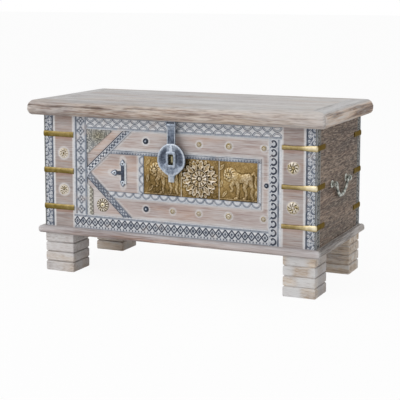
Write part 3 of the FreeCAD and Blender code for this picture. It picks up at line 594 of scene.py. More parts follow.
def scallop_pattern(u, v, long, wide, x, z):
    """A row of pale half rounds with a double outline."""
    pitch, w = repeats(u, long, 27.3)
    r = hypot(w, v - 1.5)
    size = min(pitch * 0.47, wide - 4)
    inside = fall(size - 4, size - 3.2, r)
    link = fall(1.4, 2.2, hypot(abs(w) - pitch / 2, v - 3.6))
    dark = most(groove(r - size, 1.4), 0.6 * groove(r - size + 3.4, 1, 0.4), 0.7 * groove(v - 0.7, 1.4), link)
    tone = where(r < size, 0.6 + 0.3 * inside, 0.8)
    return cut(where(r < size, 0.5 - 0.4 * inside, 0.5), tone, dark * (v < wide - 1.5), 1.4, 0.3)


def pale_pattern(u, v, long, wide, x, z):
    """Beads beside a line."""
    line = groove(v - 2, 1.6)
    beads = fall(1.3, 2.1, hypot(u % 7 - 3.5, v - wide * 0.6))
    return most(0.5 - 0.35 * beads, 1.2 * line), {"tone": 0.78 + 0.14 * beads - 0.6 * line}


def leaf(u, v, cu, cv, angle, long, wide):
    """1 inside a pointed leaf, and the distance to its vein."""
    a = (u - cu) * cos(angle) + (v - cv) * sin(angle)
    b = abs((v - cv) * cos(angle) - (u - cu) * sin(angle))
    within = abs(a) < long / 2
    return smooth(-0.4, 0.4, hump(2 * a, long) * wide / 2 - b) * within, where(within, b, 99)


def foliage_pattern(u, v, long, wide, x, z):
    """Leaves and small flowers climbing a post, with a white and a dark line on its inner edge."""
    pitch = long / round(long / 36)
    w = u % pitch
    k = pitch / 40
    middle = wide / 2 + 2
    raised = fall(0.8, 1.7, abs(v - middle - 4 * sin(u * 2 * pi / pitch)))
    vein = 0
    for cu, side, angle, size in ((5, 7, 0.7, 16), (14, -6, -0.7, 16), (27, -6, 0.6, 15), (34, 7, -0.7, 15),
                                  (20, 9.5, 1.4, 10), (0.5, -7.5, 1.5, 10), (39.5, -7.5, 1.5, 10)):
        inside, off = leaf(w, v, cu * k, middle + side, angle, size * k, 7.4)
        raised = most(raised, inside)
        vein = most(vein, inside * groove(off, 1, 0.4))
    r = hypot(w - pitch / 2, v - middle)
    a = np.arctan2(v - middle, w - pitch / 2)
    bloom = fall(-0.4, 0.4, r - 5.6 - 1.2 * cos(6 * a))
    raised = most(raised, bloom)
    vein = most(vein, bloom * most(fall(1.5, 2.4, r), groove(cos(3 * a) * r / 3, 0.7, 0.3)))
    edge = groove(v - 4.6, 3.4) * (0.66 + 0.34 * sin(u * 0.21 + 1.3 * sin(u * 0.07)))
    inner = v < 2.8
    outer = v > wide - 2
    tone = where(outer, 0.6, (0.29 + 0.6 * raised) * (1 - 0.75 * vein))
    depth = where(inner | outer, 0.2, 1.6 - 1.4 * raised + 0.6 * vein)
    return cut(depth, where(inner, 0.95, tone), edge, 1.8, 0.03)


def thicket_pattern(u, v, long, wide, x, z):
    """Close-cut leaves of the upper corner, olive in the middle and limed towards the edges."""
    one = 0.62 * x + 0.3 * z + 2.6 * sin(0.2 * z + 1.3 * sin(0.16 * x))
    two = 0.58 * z - 0.38 * x + 2.6 * sin(0.19 * x + 1.5 * sin(0.13 * z))
    raised = smooth(-0.5, 0.7, sin(one) * sin(two) + 0.3 * sin(0.37 * one - 0.41 * two))
    olive = exp(-((x + 236) / 30) ** 2 - ((z - 402) / 18) ** 2)
    return 1.5 - 1.3 * raised, {"tone": 0.4 + 0.46 * raised - 0.2 * olive, "olive": 0.35 + 0.5 * olive}


def vine_pattern(u, v, long, wide, x, z):
    """A pale band with a waving stem, beside a row of dark berries between dark teeth."""
    pitch = 12
    w = u % pitch - pitch / 2
    stem = groove(v - 4.6 - 1.8 * sin(u * 2 * pi / pitch), 1.2)
    r = hypot(w, v - 11.6)
    teeth = smooth(0, 1.4, abs(w) - 1.9 * (wide - v) / 2) * (v > 9)
    dark = most(groove(r - 3, 1.5), fall(0.6, 1.5, r), 0.8 * teeth, 0.4 * stem)
    return 0.3 + 1.2 * dark, {"tone": 0.95 - 0.79 * dark, "olive": 0.2 + 0.5 * smooth(6, 9, v)}


def side_foliage_painted_shade(*places):
    """The carving of the posts with painted shade for their side faces: its tone darkened and tinted olive.
    """
    depth, shares = foliage_pattern(*places)
    return depth, {"tone": clip(1.3 * shares["tone"] - 0.47, 0, 1), "olive": 0.45}


# White wash left round the fittings and along the carved frame, and rust under the straps
STUDS_IRON = [(-88, 394, 7.5), (-88, 203, 7.5), (271, 294, 6)]
STUDS_BRASS = [(74.5, 394, 6), (162.5, 394, 7.5), (263.5, 394, 6), (-5.5, 203, 6), (74, 203, 6),
               (162.5, 203, 7.5), (263.5, 203, 6)]
ROSETTES = [(-348.25, 347), (-348.25, 241), (348.25, 347), (348.25, 241)]
SUNBURST = (-225, 204)
ORNAMENT_X = -160
ORNAMENT_Z = 300
STRAPS = (401, 296, 190)
LIMED_LINES = [[(LEFT, LOW), (LEFT, HIGH), (RIGHT, HIGH), (RIGHT, LOW), (LEFT, LOW)],
               [(-203, INLAY_HIGH), (257, INLAY_HIGH), (257, INLAY_LOW), (-203, INLAY_LOW)],
               [(-111, INLAY_LOW), (-111, INLAY_HIGH)], [(CHEVRON_IN, HIGH), (-264, 297), (CHEVRON_IN, LOW)]]


def field_pattern(u, v, long, wide, x, z):
    wash = 0.75 * most(*(fall(3, 8, curve_distance(x, z, line)) for line in LIMED_LINES))
    for cx, cz, r in STUDS_IRON + STUDS_BRASS:
        wash = most(wash, 0.8 * fall(r + 4, r + 7.5, hypot(x - cx, z - cz)))
    a, b = x - ORNAMENT_X, z - ORNAMENT_Z
    cross = np.minimum(curve_distance(a, b, [(0, -38), (0, 38)]), curve_distance(a, b, [(-38, 0), (0, 0)]))
    sun = hypot(x - SUNBURST[0], z - SUNBURST[1])
    wash = most(wash, 0.75 * fall(8, 14, cross), 0.6 * fall(19, 25, sun))
    for cx, cz, share in ((-200, 285, 0.16), (-238, 216, 0.55)):
        wash = most(wash, share * exp(-((x - cx) / 46) ** 2 - ((z - cz) / 46) ** 2))
    bare = 0.9 * smooth(0, 6, z - 312 - 0.931 * (x - LEFT)) * (x < -150)
    return grain_depth(x, z), {"wash": wash * (1 - 0.5 * bare), "edge": bare}


def stile_pattern(u, v, long, wide, x, z):
    wash = 0.9 * fall(3, 5.5, np.minimum(v, wide - v))
    for cx, cz in ROSETTES:
        wash = most(wash, (0.7 if cx < 0 else 0.45) * fall(17, 22, hypot(x - cx, z - cz)))
    rust = 0
    for strap_z in STRAPS:
        below = strap_z - 8 - z
        rust = most(rust, smooth(-3, 0, below) * fall(2, 11, below))
    rust = rust * where(x > 0, 0.35, 0.6)
    dirt = 0.27 + 0.14 * (x < 0) * fall(230, 380, z)
    return grain_depth(x, z), {"wash": wash, "rust": rust * (1 - wash), "dirt": dirt * (1 - wash)}


# Front of the carcass
INNER = HALF - POST
field = relief(strip(-INNER, INNER, FLOOR, RIM), FACE, FACE + 16, 2.5, field_pattern)
make("front_field", [field], front_wood, node="front_panel")
for side, x0, x1 in (("left", -INNER, -STILE), ("right", STILE, INNER)):
    board = relief(strip(x0, x1, FLOOR, RIM, True), FRONT, FACE, 1.6, stile_pattern)
    make("stile_%s_board" % side, [board], front_wood)
for name, *plates in (
        ("border_top_carved", (strip(LEFT, STILE, HIGH, RIM), 5, 0.8, arcs_pattern)),
        ("border_left_carved", (strip(-STILE, LEFT, LOW, RIM, True), 5, 0.8, tiles_pattern)),
        ("border_bottom_carved", (strip(-STILE, RIGHT, FLOOR, LOW), 5, 0.8, diamonds_pattern)),
        ("border_right_carved", (strip(RIGHT, STILE, FLOOR, HIGH, True), 5, 0.8, scrolls_pattern)),
        ("diagonal_upper_carved",
         (((LEFT, 312), (CHEVRON_OUT, HIGH), CHEVRON, (CHEVRON_IN, HIGH)), 4.5, 0.8, dotted_pattern),
         (((LEFT, 297), (LEFT, 312), CHEVRON, (-273.9, 312)), 4, 1.5, pale_pattern)),
        ("diagonal_lower_carved",
         (((LEFT, 282), (CHEVRON_OUT, LOW), CHEVRON, (CHEVRON_IN, LOW)), 4.5, 0.8, muted_pattern),
         (((LEFT, 297), (LEFT, 282), CHEVRON, (-273.9, 282)), 4, 1.5, pale_pattern)),
        ("corner_carving_leaves",
         (((LEFT, 348), (LEFT, HIGH), (-273.5, 348.5), (-190, HIGH)), 3, 1, thicket_pattern)),
        ("carved_strip_leaves", (((LEFT, LOW), (LEFT, 264), (-256, LOW), (-256, 247)), 3, 0.7, vine_pattern)),
        ("inner_border_top_carved",
         (((-203, PANEL_HIGH), (INLAY_RIGHT, PANEL_HIGH), (-189, INLAY_HIGH), (INLAY_RIGHT, INLAY_HIGH)),
          3, 0.8, zigzag_pattern)),
        ("inner_border_bottom_carved",
         (((-209, PANEL_LOW), (INLAY_RIGHT, PANEL_LOW), (-190, INLAY_LOW), (INLAY_RIGHT, INLAY_LOW)),
          3, 0.8, scallop_pattern)),
        ("inner_border_left_carved",
         (strip(-110, -94, PANEL_LOW, PANEL_HIGH, True, True), 3, 0.8, scallop_pattern)),
        ("inner_border_right_carved",
         (strip(246.5, INLAY_RIGHT, PANEL_LOW, PANEL_HIGH, True), 3, 0.8, pale_pattern))):
    make(name, [relief(corners, FACE - rise, FACE, step, pattern) for corners, rise, step, pattern in plates],
         carved_wood)

# Carved corner posts
for place, sx, sy, outer_y in CORNERS:
    x0, x1 = sx * INNER, sx * (HALF - 3)
    y0, y1 = outer_y - sy * POST, outer_y - sy * 3
    core = [[(x0, y0, z), (x1, y0, z), (x1, y1, z), (x0, y1, z)] for z in (FLOOR, RIM)]
    parts = []
    for inner, outer, face, pattern, view in ((x0, sx * HALF, -sy * outer_y, foliage_pattern, (0, sy, 0)),
                                              (y0, outer_y, -HALF, side_foliage_painted_shade, (sx, 0, 0))):
        corners = (inner, FLOOR), (inner, RIM), (outer, FLOOR), (outer, RIM)
        parts.append(relief(corners, face, face + 4, 1, pattern, view))
    make("post_%s_carved" % place, parts + [loft(core, tone=0.5)], carved_wood)

# Embossed brass. The beast is drawn in rows of points with a radius at each.
BEAST = [
    [(48, 66, 14), (66, 62, 12.5), (86, 64, 14)],
    [(24, 66, 6), (19, 62, 5)],
    [(45, 54, 7.5), (36, 42, 5), (40, 31, 3.8), (36, 26, 3.4)],
    [(54, 54, 8), (57, 32, 4.6), (55, 9, 3.8), (48, 7, 3.6)],
    [(82, 56, 9.5), (75, 38, 5.6), (81, 22, 4.2), (78, 9, 3.8), (72, 7, 3.4)],
    [(91, 56, 8.5), (98, 36, 5), (95, 20, 4), (100, 8, 3.8)],
    [(94, 72, 3.8), (103, 79, 3.2), (109, 68, 3), (106, 52, 2.8), (108, 42, 4)],
]


def beast_height(a, b):
    """A maned beast at a walk, its tail raised, with leaves round it and a ground line."""
    tall = 0
    for row in BEAST:
        for start, end in zip(row, row[1:]):
            share, distance = segment(a, b, start, end)
            radius = start[2] + (end[2] - start[2]) * share
            tall = most(tall, dome(distance, radius) * np.minimum(radius * 0.42, 4.2))
    r = hypot(a - 34, b - 71)
    mane = 0.8 + 0.2 * cos(10 * np.arctan2(b - 71, a - 34) + 0.28 * r)
    face = hypot(a - 30, b - 69)
    tall = most(tall, 4.6 * dome(r, 20.5) * mane, 5.2 * dome(face, 9)) - 1.2 * groove(face - 9.4, 1.6, 0.6)
    for cx in (26.5, 33.5):
        tall = tall - 1.8 * fall(0.9, 2, hypot(a - cx, b - 72))
    for k in range(6):
        rib = curve_distance(a, b, [(54 + 7 * k, 78 - 0.5 * k), (51 + 7 * k, 66), (55 + 7 * k, 54)])
        tall = tall - 0.35 * groove(rib, 1.6, 0.8) * (tall > 2)
    for cx, cz, turn, long in ((9, 90, 0.9, 22), (8, 46, 1.4, 24), (18, 18, 0.9, 24), (109, 22, 1.5, 22)):
        inside, off = leaf(a, b, cx, cz, turn, long, 8)
        tall = most(tall, inside * (1.5 - 0.7 * groove(off, 1.2, 0.5)))
    return most(tall, 1.6 * groove(b - 3.6, 1.8, 0.6))


def petals(a, b, count, radius, long, wide, turn, ripple=0):
    """One row of pointed, hollow petals: 0 outside, up to 1 on their rims."""
    tall = 0
    for angle in turn + turns(count):
        along = a * cos(angle) + b * sin(angle) - radius
        aside = abs(b * cos(angle) - a * sin(angle))
        share = clip(along / long + 0.5, 0, 1)
        half = wide * sin(pi * share ** 0.8) ** 0.7 * (0.5 + ripple * cos(share * 16))
        petal = smooth(0, 1.6, half - aside) * (0.5 + 0.5 * clip(aside / np.maximum(half, 0.5), 0, 1) ** 2)
        tall = most(tall, petal * (abs(along) < long / 2))
    return tall


def flower_height(a, b):
    """A full flower: a boss, a disc of narrow petals, a ring of beads and an outer row of lobed petals."""
    a = (a - 56.7) / 1.11
    b = (b - 53.5) / 1.11
    r = hypot(a, b)
    angle = np.arctan2(b, a)
    inner = fall(19.5, 21, r) * (3.2 + cos(12 * angle) * smooth(4, 10, r))
    pitch = 2 * pi / 32
    bead = hypot((angle % pitch - pitch / 2) * r, r - 22.6)
    tall = most(2.4 * petals(a, b, 13, 44, 14, 9, 0.24), 4.2 * petals(a, b, 13, 35.5, 25, 16, 0, 0.07), inner,
                4.6 * petals(a, b, 8, 11.5, 12, 9, 0.3), 4.6 * dome(bead, 2.1))
    return most(tall - 2.4 * groove(r - 6, 2, 0.7), 5.4 * dome(r, 4.6))


def brass_pattern(height, x0, shift, limed):
    """Sheet brass hammered over a figure; limed says how much lime is left on it."""
    def pattern(u, v, long, wide, x, z):
        edge = np.min([u, long - u, v, wide - v], axis=0)
        joint = groove(u - 1.6, 2.6, 0.7) * (x0 > 0)
        hammer = 0.35 * sin(x * 0.61 + 1.7 * sin(z * 0.23)) * sin(z * 0.57 + 1.3 * sin(x * 0.31))
        tall = most((height(u - shift, v) + hammer) * smooth(0, 2.4, edge), 1.6 * joint)
        around = sum(np.roll(tall, (i, j), (0, 1)) for i in (-4, 0, 4) for j in (-4, 0, 4)) / 9
        proud = tall - around
        cloud = 0.07 * sin(x * 0.045 + 1.4 * sin(z * 0.05)) + 0.05 * sin(z * 0.07 + x * 0.03)
        ground = (0.34 if x0 > 100 else 0.29) + cloud - 0.13 * fall(0, 34, v)
        tone = clip(ground + 0.3 * proud + (0.01 + 0.02 * limed) * tall, 0, 1)
        chalk = clip(proud * 0.8 + (0.1 + 0.16 * limed) * tall - 0.1, 0, 1) * limed * 1.05 + 0.8 * joint
        return 1 - tall, {"tone": tone, "chalk": clip(chalk, 0, 1)}
    return pattern


for place, x0, height, shift, limed in (("left", -94, beast_height, 4, 0.35),
                                        ("centre", 19.5, flower_height, 0, 1),
                                        ("right", 133, beast_height, 0, 0.4)):
    sheet = relief(strip(x0, x0 + PANEL_WIDE, PANEL_LOW, PANEL_HIGH), FACE - 1.2, FACE, 0.75,
                   brass_pattern(height, x0, shift, limed))
    make("brass_%s_embossed" % place, [sheet], panel_brass, 0.9, node="brass_panel_" + place)


# Brass straps round the corners
def strap(sx, sy, outer_y, z):
    """A domed brass strap bent round a corner, with painted highlights in its tone: the right-hand ones
    brighten towards the corner, the left-hand ones along their upper edge, and each is brightest just above
    its crown.
    """
    reach = HALF - 1 - STILE
    path = [(sx * (STILE + reach * share), outer_y, 0, sy, share) for share in linspace(0, 1, 26)]
    for a in radians(linspace(10, 80, 5)):
        path.append((sx * (HALF - 1 + sin(a)), outer_y - sy * (1 - cos(a)), sx * sin(a), sy * cos(a), 1))
    for share in linspace(0.02, 1, 14):
        path.append((sx * HALF, outer_y - sy * (1 + 63 * share), sx, 0, 1 + share))
    rings = []
    tones = []
    spread = linspace(-1, 1, 9)
    for x, y, nx, ny, share in path:
        slim = sin(pi * clip((share - 0.06) / 0.8, 0, 1))
        if share > 1:
            waist = 8 - sin(pi * (share - 1) * 0.9)
            base = 0
        elif sx > 0:
            waist = 6.2 + 1.8 * share - 1.3 * slim
            # Painted highlight: the right-hand straps brighten towards the corner
            base = 0.32 + 0.5 * smooth(0.3, 0.95, share)
        else:
            waist = 8 - 0.5 * slim
            base = 0.24 - 0.16 * share
        out = 0.7 + 1.9 * dome(spread, 1)
        face = [(x + nx * rise, y + ny * rise, z + v * waist) for v, rise in zip(spread, out)]
        rings.append(face + [(x, y, z + v * waist) for v in spread[::-1]])
        # Painted highlights: a band along the upper edge of the left-hand straps, and a sheen brightest just
        # above each dome's crown
        painted_highlight = 0.3 * (sx < 0) * np.maximum(spread - 0.4, 0)
        tones += [*(base * (0.72 + 0.42 * (1 - abs(spread - 0.2) ** 1.6)) + painted_highlight)]
        tones += [0.1] * len(spread)
    return loft(rings, tone=tones)


for place, sx, sy, outer_y in CORNERS:
    make("straps_%s_formed" % place, [strap(sx, sy, outer_y, z) for z in STRAPS], strap_brass, 0.9)


# Rosettes and studs
def rosette_height(r, a):
    """Short dark cuts round a small dark boss on a limed ground."""
    metal = smooth(0.5, 0.95, 0.5 + 0.5 * cos(9 * a)) * hump(r - 8, 4.2)
    boss = dome(r, 3.2)
    bare = most(metal, boss, 0.6 * groove(r - 13.2, 1.6))
    tall = most(0.6 + 2.6 * metal, 3.6 * boss)
    return tall, {"tone": 0.58 - 0.58 * bare, "chalk": 5 * fall(0.15, 0.6, bare)}


def swirl_height(r, a):
    """Twisted pale petals with thin lines of bare metal between them."""
    r = r / 1.12
    share = smooth(0.06, 0.4, 0.5 + 0.5 * cos(8 * a + 0.34 * r))
    ring = hump(r - 8.6, 6)
    bare = most(ring * (1 - share), 0.8 * groove(r - 4.2, 1.4), 0.6 * groove(r - 13.6, 1.6))
    tall = most(0.6 + 3 * ring * share, 4 * dome(r, 3.4))
    return tall, {"tone": 0.56 - 0.5 * bare, "chalk": 1.9 * fall(0.15, 0.9, bare)}


def sun_height(r, a):
    """Pale rays with a ragged end, parted by bare metal, round a ringed boss with a small pit."""
    rays = smooth(0.2, 0.55, 0.5 + 0.5 * cos(14 * a)) * smooth(8.8, 10.4, r) * fall(17, 18.8, r)
    rim = most(groove(r - 8.4, 2.2), fall(1.4, 2.6, r))
    inner = fall(7.6, 8.4, r)
    tone = most(0.06 + 0.74 * rays, 0.85 * inner) * (1 - rim) + 0.1 * rim
    chalk = most(3 * rays, 1.3 * inner) * (1 - rim)
    return most(0.6 + 2.8 * rays, 4.2 * dome(r, 8.2)), {"tone": tone, "chalk": chalk}


def stud_height(size, ring_tone, pale, wide, pit):
    """A ringed stud with a pale middle, which may have a small pit."""
    def height(r, a):
        share = r / size
        line = most(groove(share - 0.72, wide, 0.08), pit * fall(0.08, 0.22, share))
        tall = most(2.6 * hump(share - 0.74, 0.24), 3.6 * dome(share, 0.5), 0.5)
        return tall, {"tone": pale * (1 - line) + ring_tone * line, "chalk": 2 * (1 - line)}
    return height


rosettes = []
for x, z in ROSETTES:
    radius, height = (15, rosette_height) if x < 0 else (16.8, swirl_height)
    rosettes.append(disc((x, z, FRONT), radius, height, sides=96))
make("stile_rosettes_formed", rosettes, fitting_brass, 0.9)
make("sunburst_formed", [disc((*SUNBURST, FACE), 19, sun_height, sides=108)], fitting_brass, 0.9,
     node="sunburst_rosette")
for name, places, grow, look, material in (("brass", STUDS_BRASS, 1.25, (0.12, 0.9, 0.2, 1), fitting_brass),
                                           ("iron", STUDS_IRON, 1.12, (0, 0.62, 0.72, 0), iron)):
    studs = []
    for x, z, r in places:
        studs.append(disc((x, z, FACE), grow * r, stud_height(grow * r, *look), rings=10, sides=36))
    make(name + "_studs_formed", studs, material, 0.9)


# Iron ornament with spear tips
def plate(points, rise, tone, rim):
    """A flat plate on the front with a dark chamfered edge."""
    outline = np.array(points, float)
    shrunk = outline + (np.mean(outline, axis=0) - outline) * rim
    rings = []
    for flat, y in ((outline, FACE), (outline, FACE - rise + 0.8), (shrunk, FACE - rise)):
        rings.append(placed(TO_FRONT, flat[:, 0], flat[:, 1], np.full(len(flat), y)))
    return loft(rings, tone=np.repeat([0, 0, tone], len(outline)))


def rivet_height(r, a):
    return 1.6 * dome(r, 2.6), {"tone": 0.05}


half_tip = [(-5, -1), (-8.6, 3), (-8.2, 6.4), (-5, 7.4), (-6.6, 10.4), (0, 18.4)]
TIP = half_tip + [(-a, b) for a, b in half_tip[-2::-1]]
ornament = []
for points, rise, tone, rim in (([(-5.5, -26), (5.5, -26), (5.5, 26), (-5.5, 26)], 2.5, 0, 0.1),
                                ([(-22, -5.2), (-2, -5.2), (-2, 5.2), (-22, 5.2)], 2.4, 0, 0.1),
                                ([(a, 21 + b) for a, b in TIP], 3, 0.95, 0.55),
                                ([(a, -21 - b) for a, b in TIP], 3, 0.95, 0.55),
                                ([(-20 - b, a) for a, b in TIP], 3, 0.95, 0.55)):
    ornament.append(plate([(ORNAMENT_X + a, ORNAMENT_Z + b) for a, b in points], rise, tone, rim))
edge_bar = [(ORNAMENT_X + 8.5, FACE - 0.6, ORNAMENT_Z + dz) for dz in (-30, 30)]
ornament.append(tube(edge_bar, [3.4, 3.4], tone=0.95))
for dx, dz in ((0, 27), (0, -27), (-26, 0)):
    spot = (ORNAMENT_X + dx, ORNAMENT_Z + dz, FACE - 2.8)
    ornament.append(disc(spot, 2.4, rivet_height, rings=5, sides=20))
make("t_ornament_forged", ornament, iron, 0.5)

# Hasp
PIN_Y = -195
PIN_Z = 446.4
HASP_BACK = -193.5
SLOT_Z = 350.8


def section(half, z):
    """A level section from the places on its left half."""
    return [(x, y, z) for x, y in half] + [(-x, y, z) for x, y in half[::-1]]


def rounded(half_x, half_z, corner):
    """Points of a rounded rectangle, one for each of a row of angles."""
    a = turns(120)
    power = 2 + 10 * (1 - corner)
    reach = (abs(cos(a) / half_x) ** power + abs(sin(a) / half_z) ** power) ** (-1 / power)
    return np.column_stack([reach * cos(a), reach * sin(a)])


oval = rounded(42, 45, 1)
oval[:, 0] = oval[:, 0] * (1 - 0.16 * smooth(0.35, 0.95, -oval[:, 1] / 45))
slot_line = rounded(8, 15, 0.3)
box_line = rounded(15, 22, 0.45)
lift = oval[:, 1] / 45
dished = fall(0.8, 0.93, lift) * fall(0.42, 0.62, -lift)
rings = []
tones = []
for outline, middle, y, tone in (
        (slot_line, SLOT_Z, HASP_BACK, 0.4), (slot_line, SLOT_Z, -200.9, 0.42),
        (slot_line * 1.06, SLOT_Z, -201.5, 0.54), (box_line * 0.93, SLOT_Z, -201.5, 0.52),
        (box_line, SLOT_Z, -200.6, 0.46), (box_line * 1.03, SLOT_Z, -197.4 + dished, 0.5 - 0.36 * dished),
        (oval * 0.6, 350.4, -197.6 + 1.9 * dished, 0.46 - 0.42 * dished),
        (oval * 0.72, 350.1, -197.7 + 2 * dished, 0.46 - 0.4 * dished),
        (oval * 0.81, 350, -197.8 + 1.4 * dished, 0.48 - 0.3 * dished), (oval * 0.88, 349.9, -198.2, 0.52),
        (oval * 0.95, 349.9, -198.6, 0.78), (oval * 0.99, 349.9, -197.8, 0.62), (oval, 349.9, -196.5, 0.4),
        (oval, 349.9, HASP_BACK, 0.2)):
    y, tone = np.broadcast_to(y, oval[:, 0].shape), np.broadcast_to(tone, oval[:, 0].shape)
    rings.append(placed(TO_FRONT, outline[:, 0], middle + outline[:, 1], y))
    tones.append(tone)
hasp_parts = [loft(rings, closed=True, tone=np.concatenate(tones))]
strap_rings = []
strap_tones = []
for z, wide, tone in ((444, 12.6, 0.5), (434, 12.6, 0.4), (424, 12.4, 0.22), (410, 12.2, 0.1),
                      (396, 12.2, 0.08), (388, 13, 0.1)):
    half = [(-wide, HASP_BACK), (-wide, -197.6), (-wide + 1.6, -198.2), (-wide + 3.4, -196.5)]
    strap_rings.append(section(half, z))
    strap_tones += [0.3, 0.66, 0.85, tone, tone, 0.8, 0.6, 0.3]
hasp_parts.append(loft(strap_rings, tone=strap_tones))


def turned(steps, sides):
    """Rings about the hasp's pivot line, from a row of places and radii."""
    return [[(x, PIN_Y + reach * cos(a), PIN_Z + reach * sin(a)) for a in turns(sides)] for x, reach in steps]


barrel = turned(((-11.6, 3.3), (-11.6, 5.6), (-11, 6), (11, 6), (11.6, 5.6), (11.6, 3.3)), 32)
hasp_parts.append(loft(barrel, closed=True, tone=0.55))
neck = []
for z, wide, out in ((391, 5, -198.4), (384, 6.4, -199.4), (372, 8, -200.4)):
    neck.append(section([(-wide, -194.5), (-wide, -196.5), (-wide + 2.2, out)], z))
hasp_parts.append(loft(neck, tone=[0.2, 0.3, 0.66, 0.66, 0.3, 0.2] * len(neck)))
apron = []
apron_tones = []
for z, wide, out, tone in ((330, 16, -197.8, 0.36), (322, 15, -198.4, 0.36), (312, 12, -198.6, 0.44),
                           (303, 9.2, -198.2, 0.7), (292, 8.6, -197.2, 0.9), (288, 8, -196.6, 0.96)):
    apron.append(section([(-wide, HASP_BACK), (-wide, -196.2), (-wide * 0.72, out)], z))
    apron_tones += [0.3, 0.5, tone, tone, 0.5, 0.3]
hasp_parts.append(loft(apron, tone=apron_tones))
make("hasp_forged", hasp_parts, iron, 0.6, "hasp")

# Hanger of the hasp: two slim ears, a plate and a pin
pin = turned(((-14.6, 0.4), (-14.6, 2.6), (-14, 3), (14, 3), (14.6, 2.6), (14.6, 0.4)), 20)
hanger = [loft(pin, tone=0.5)]
bow = [(PIN_Y + 6 * cos(a), PIN_Z + 6 * sin(a)) for a in radians(linspace(180, 360, 13))]
outline = np.array([(PIN_Y - 6, 455.2), *bow, (PIN_Y + 6, 455.2)])
centre = np.array([PIN_Y, 448])
for x in (-13.1, 13.1):
    rings = []
    for dx, grow in ((-1.1, 0.9), (-0.8, 1), (0.8, 1), (1.1, 0.9)):
        flat = centre + (outline - centre) * grow
        rings.append(np.column_stack([np.full(len(flat), x + dx), flat]))
    hanger.append(loft(rings, tone=0.6))
rings = []
for z, grow in ((454.6, -0.6), (455.2, 0), (UNDER, 0)):
    rings.append([(sx * (15.4 + grow), PIN_Y + sy * (8 + grow), z)
                  for sx, sy in ((-1, -1), (1, -1), (1, 1), (-1, 1))])
hanger.append(loft(rings, tone=0.4))
make("hasp_hanger_forged", hanger, iron, 0.6, "lid")

# Drop handles
HANDLE_X = 422.5
HANDLE_Z = 290
half_bail = [(HANDLE_X, -57, HANDLE_Z), (HANDLE_X, -46, HANDLE_Z), (422.3, -38, 284), (420.9, -24, 266),
             (420, -9, 254.6), (419.8, 10.5, 251.5)]
BAIL = half_bail + [(x, 21 - y, z) for x, y, z in half_bail[-2::-1]]


def eye_height(r, a):
    tall = 1.6 + 1.9 * hump(r - 6, 4) * (0.5 + 0.5 * cos(8 * a))
    return where(r > 9.6, 0.8, tall), {"tone": clip(0.6 + 0.14 * tall, 0, 1)}


for side, sx in SIDES:
    eyes = []
    for y in (-52, 73):
        eyes.append(disc((y, HANDLE_Z, -HALF), 10.5, eye_height, (sx, 0, 0)))
        loop = []
        for a in turns(28):
            loop.append([(sx * (HANDLE_X + (6.3 + 2.3 * cos(b)) * cos(a)), y + 1.3 * 2.3 * sin(b),
                          HANDLE_Z + (6.3 + 2.3 * cos(b)) * sin(a)) for b in turns(12)])
        eyes.append(loft(loop, closed=True, tone=0.74))
    make("handle_eyes_%s_forged" % side, eyes, handle_iron, 0.8)
    line = spline([(sx * x, y, z) for x, y, z in BAIL])
    girth = [3.3 + 1.7 * sin(share) ** 2 for share in linspace(0, pi, len(line))]
    beads = np.repeat(0.6 + 0.26 * sin(0.8 * np.arange(len(line))), 18)
    bail = [tube(line, girth, 18, tone=beads)]
    for y in (-58, 79):
        knob = [(sx * HANDLE_X, y + d, HANDLE_Z) for d in (-1.6, -1.2, 0, 1.2, 1.6)]
        bail.append(tube(knob, [2, 4, 4.6, 4, 2], tone=0.8))
    make("bail_%s_forged" % side, bail, handle_iron, 0.8, side + "_handle")


# Lid rails and base moulding, with hand-worked edges
def rail_line(inward, start, end, mitred, corner, steps=60):
    """One line along a rail: how far along it goes, and how far in from the nose, with rounded corners."""
    bends = radians(linspace(45, 0, 7))

    def bend(edge, way):
        if inward < corner:
            reach = corner - inward
            return [(edge + way * (corner - reach * sin(a)), corner - reach * cos(a)) for a in bends]
        return [(edge + way * (inward + 5 * (1 - a / bends[0])), inward) for a in bends]

    first = bend(start, 1)
    last = bend(end, -1)[::-1] if mitred else [(end, inward)]
    low, high = first[-1][0], last[0][0]
    return first + [(low + (high - low) * k / steps, inward) for k in range(1, steps)] + last


def nose_profile(low, high, round_low, round_high, quirk=()):
    """Places in from the nose and heights, from the under side round the nose to the top."""
    points = [(60, low)]
    for a in radians(linspace(0, 90, 9)):
        points.append((round_low * (1 - sin(a)), low + round_low * (1 - cos(a))))
    for a in radians(linspace(0, 90, 21)):
        points.append((round_high * (1 - cos(a)), high - round_high * (1 - sin(a))))
    return [*points, *quirk, (60, high)]


def rail(name, profile, start, end, mitred, along_x, outer, material, body, corner, edge, soil_and_shade):
    """A rail whose nose is a little uneven; edge gives each point of the profile its tan, and soil_and_shade
    its darkening: dirt, and painted shade.
    """
    lines = [rail_line(inward, start, end, mitred, corner) for inward, z in profile]
    way = 1 if outer < 0 else -1
    last = len(lines[0]) - 1
    rings = []
    shares = {"edge": [], "dirt": [], "wash": []}
    for j in range(last + 1):
        ring = []
        seam = 0.45 if j == 0 or (j == last and mitred) else 0
        for line, (inward, z) in zip(lines, profile):
            along, deep = line[j]
            wave = 0.35 * sin(along * 0.021 + z * 0.4) + 0.2 * sin(along * 0.057 + z)
            across = outer + way * (deep - min(wave - 0.35, 0) * (inward < 30))
            ring.append((along, across, z) if along_x else (across, along, z))
            tip = min(along - start, end - along if mitred else 99)
            shares["edge"].append(edge(inward, z, along))
            shares["dirt"].append(max(seam, soil_and_shade(inward, z, along)))
            # Pale near the ends of the nose: a painted highlight on the rounded corners, carried in the wash
            # attribute
            shares["wash"].append(0.75 * max(0, 1 - tip / 16) * (inward < 20))
        rings.append(ring)
    make(name + "_worked", [loft(rings, **shares)], material, 0.5, body)


def lid_edge(inward, z, along):
    """Tan wood on the nose, paler towards the right."""
    return (1 - 0.2 * smooth(100, 400, along)) * fall(490, 498.6, z) * (inward < 59)


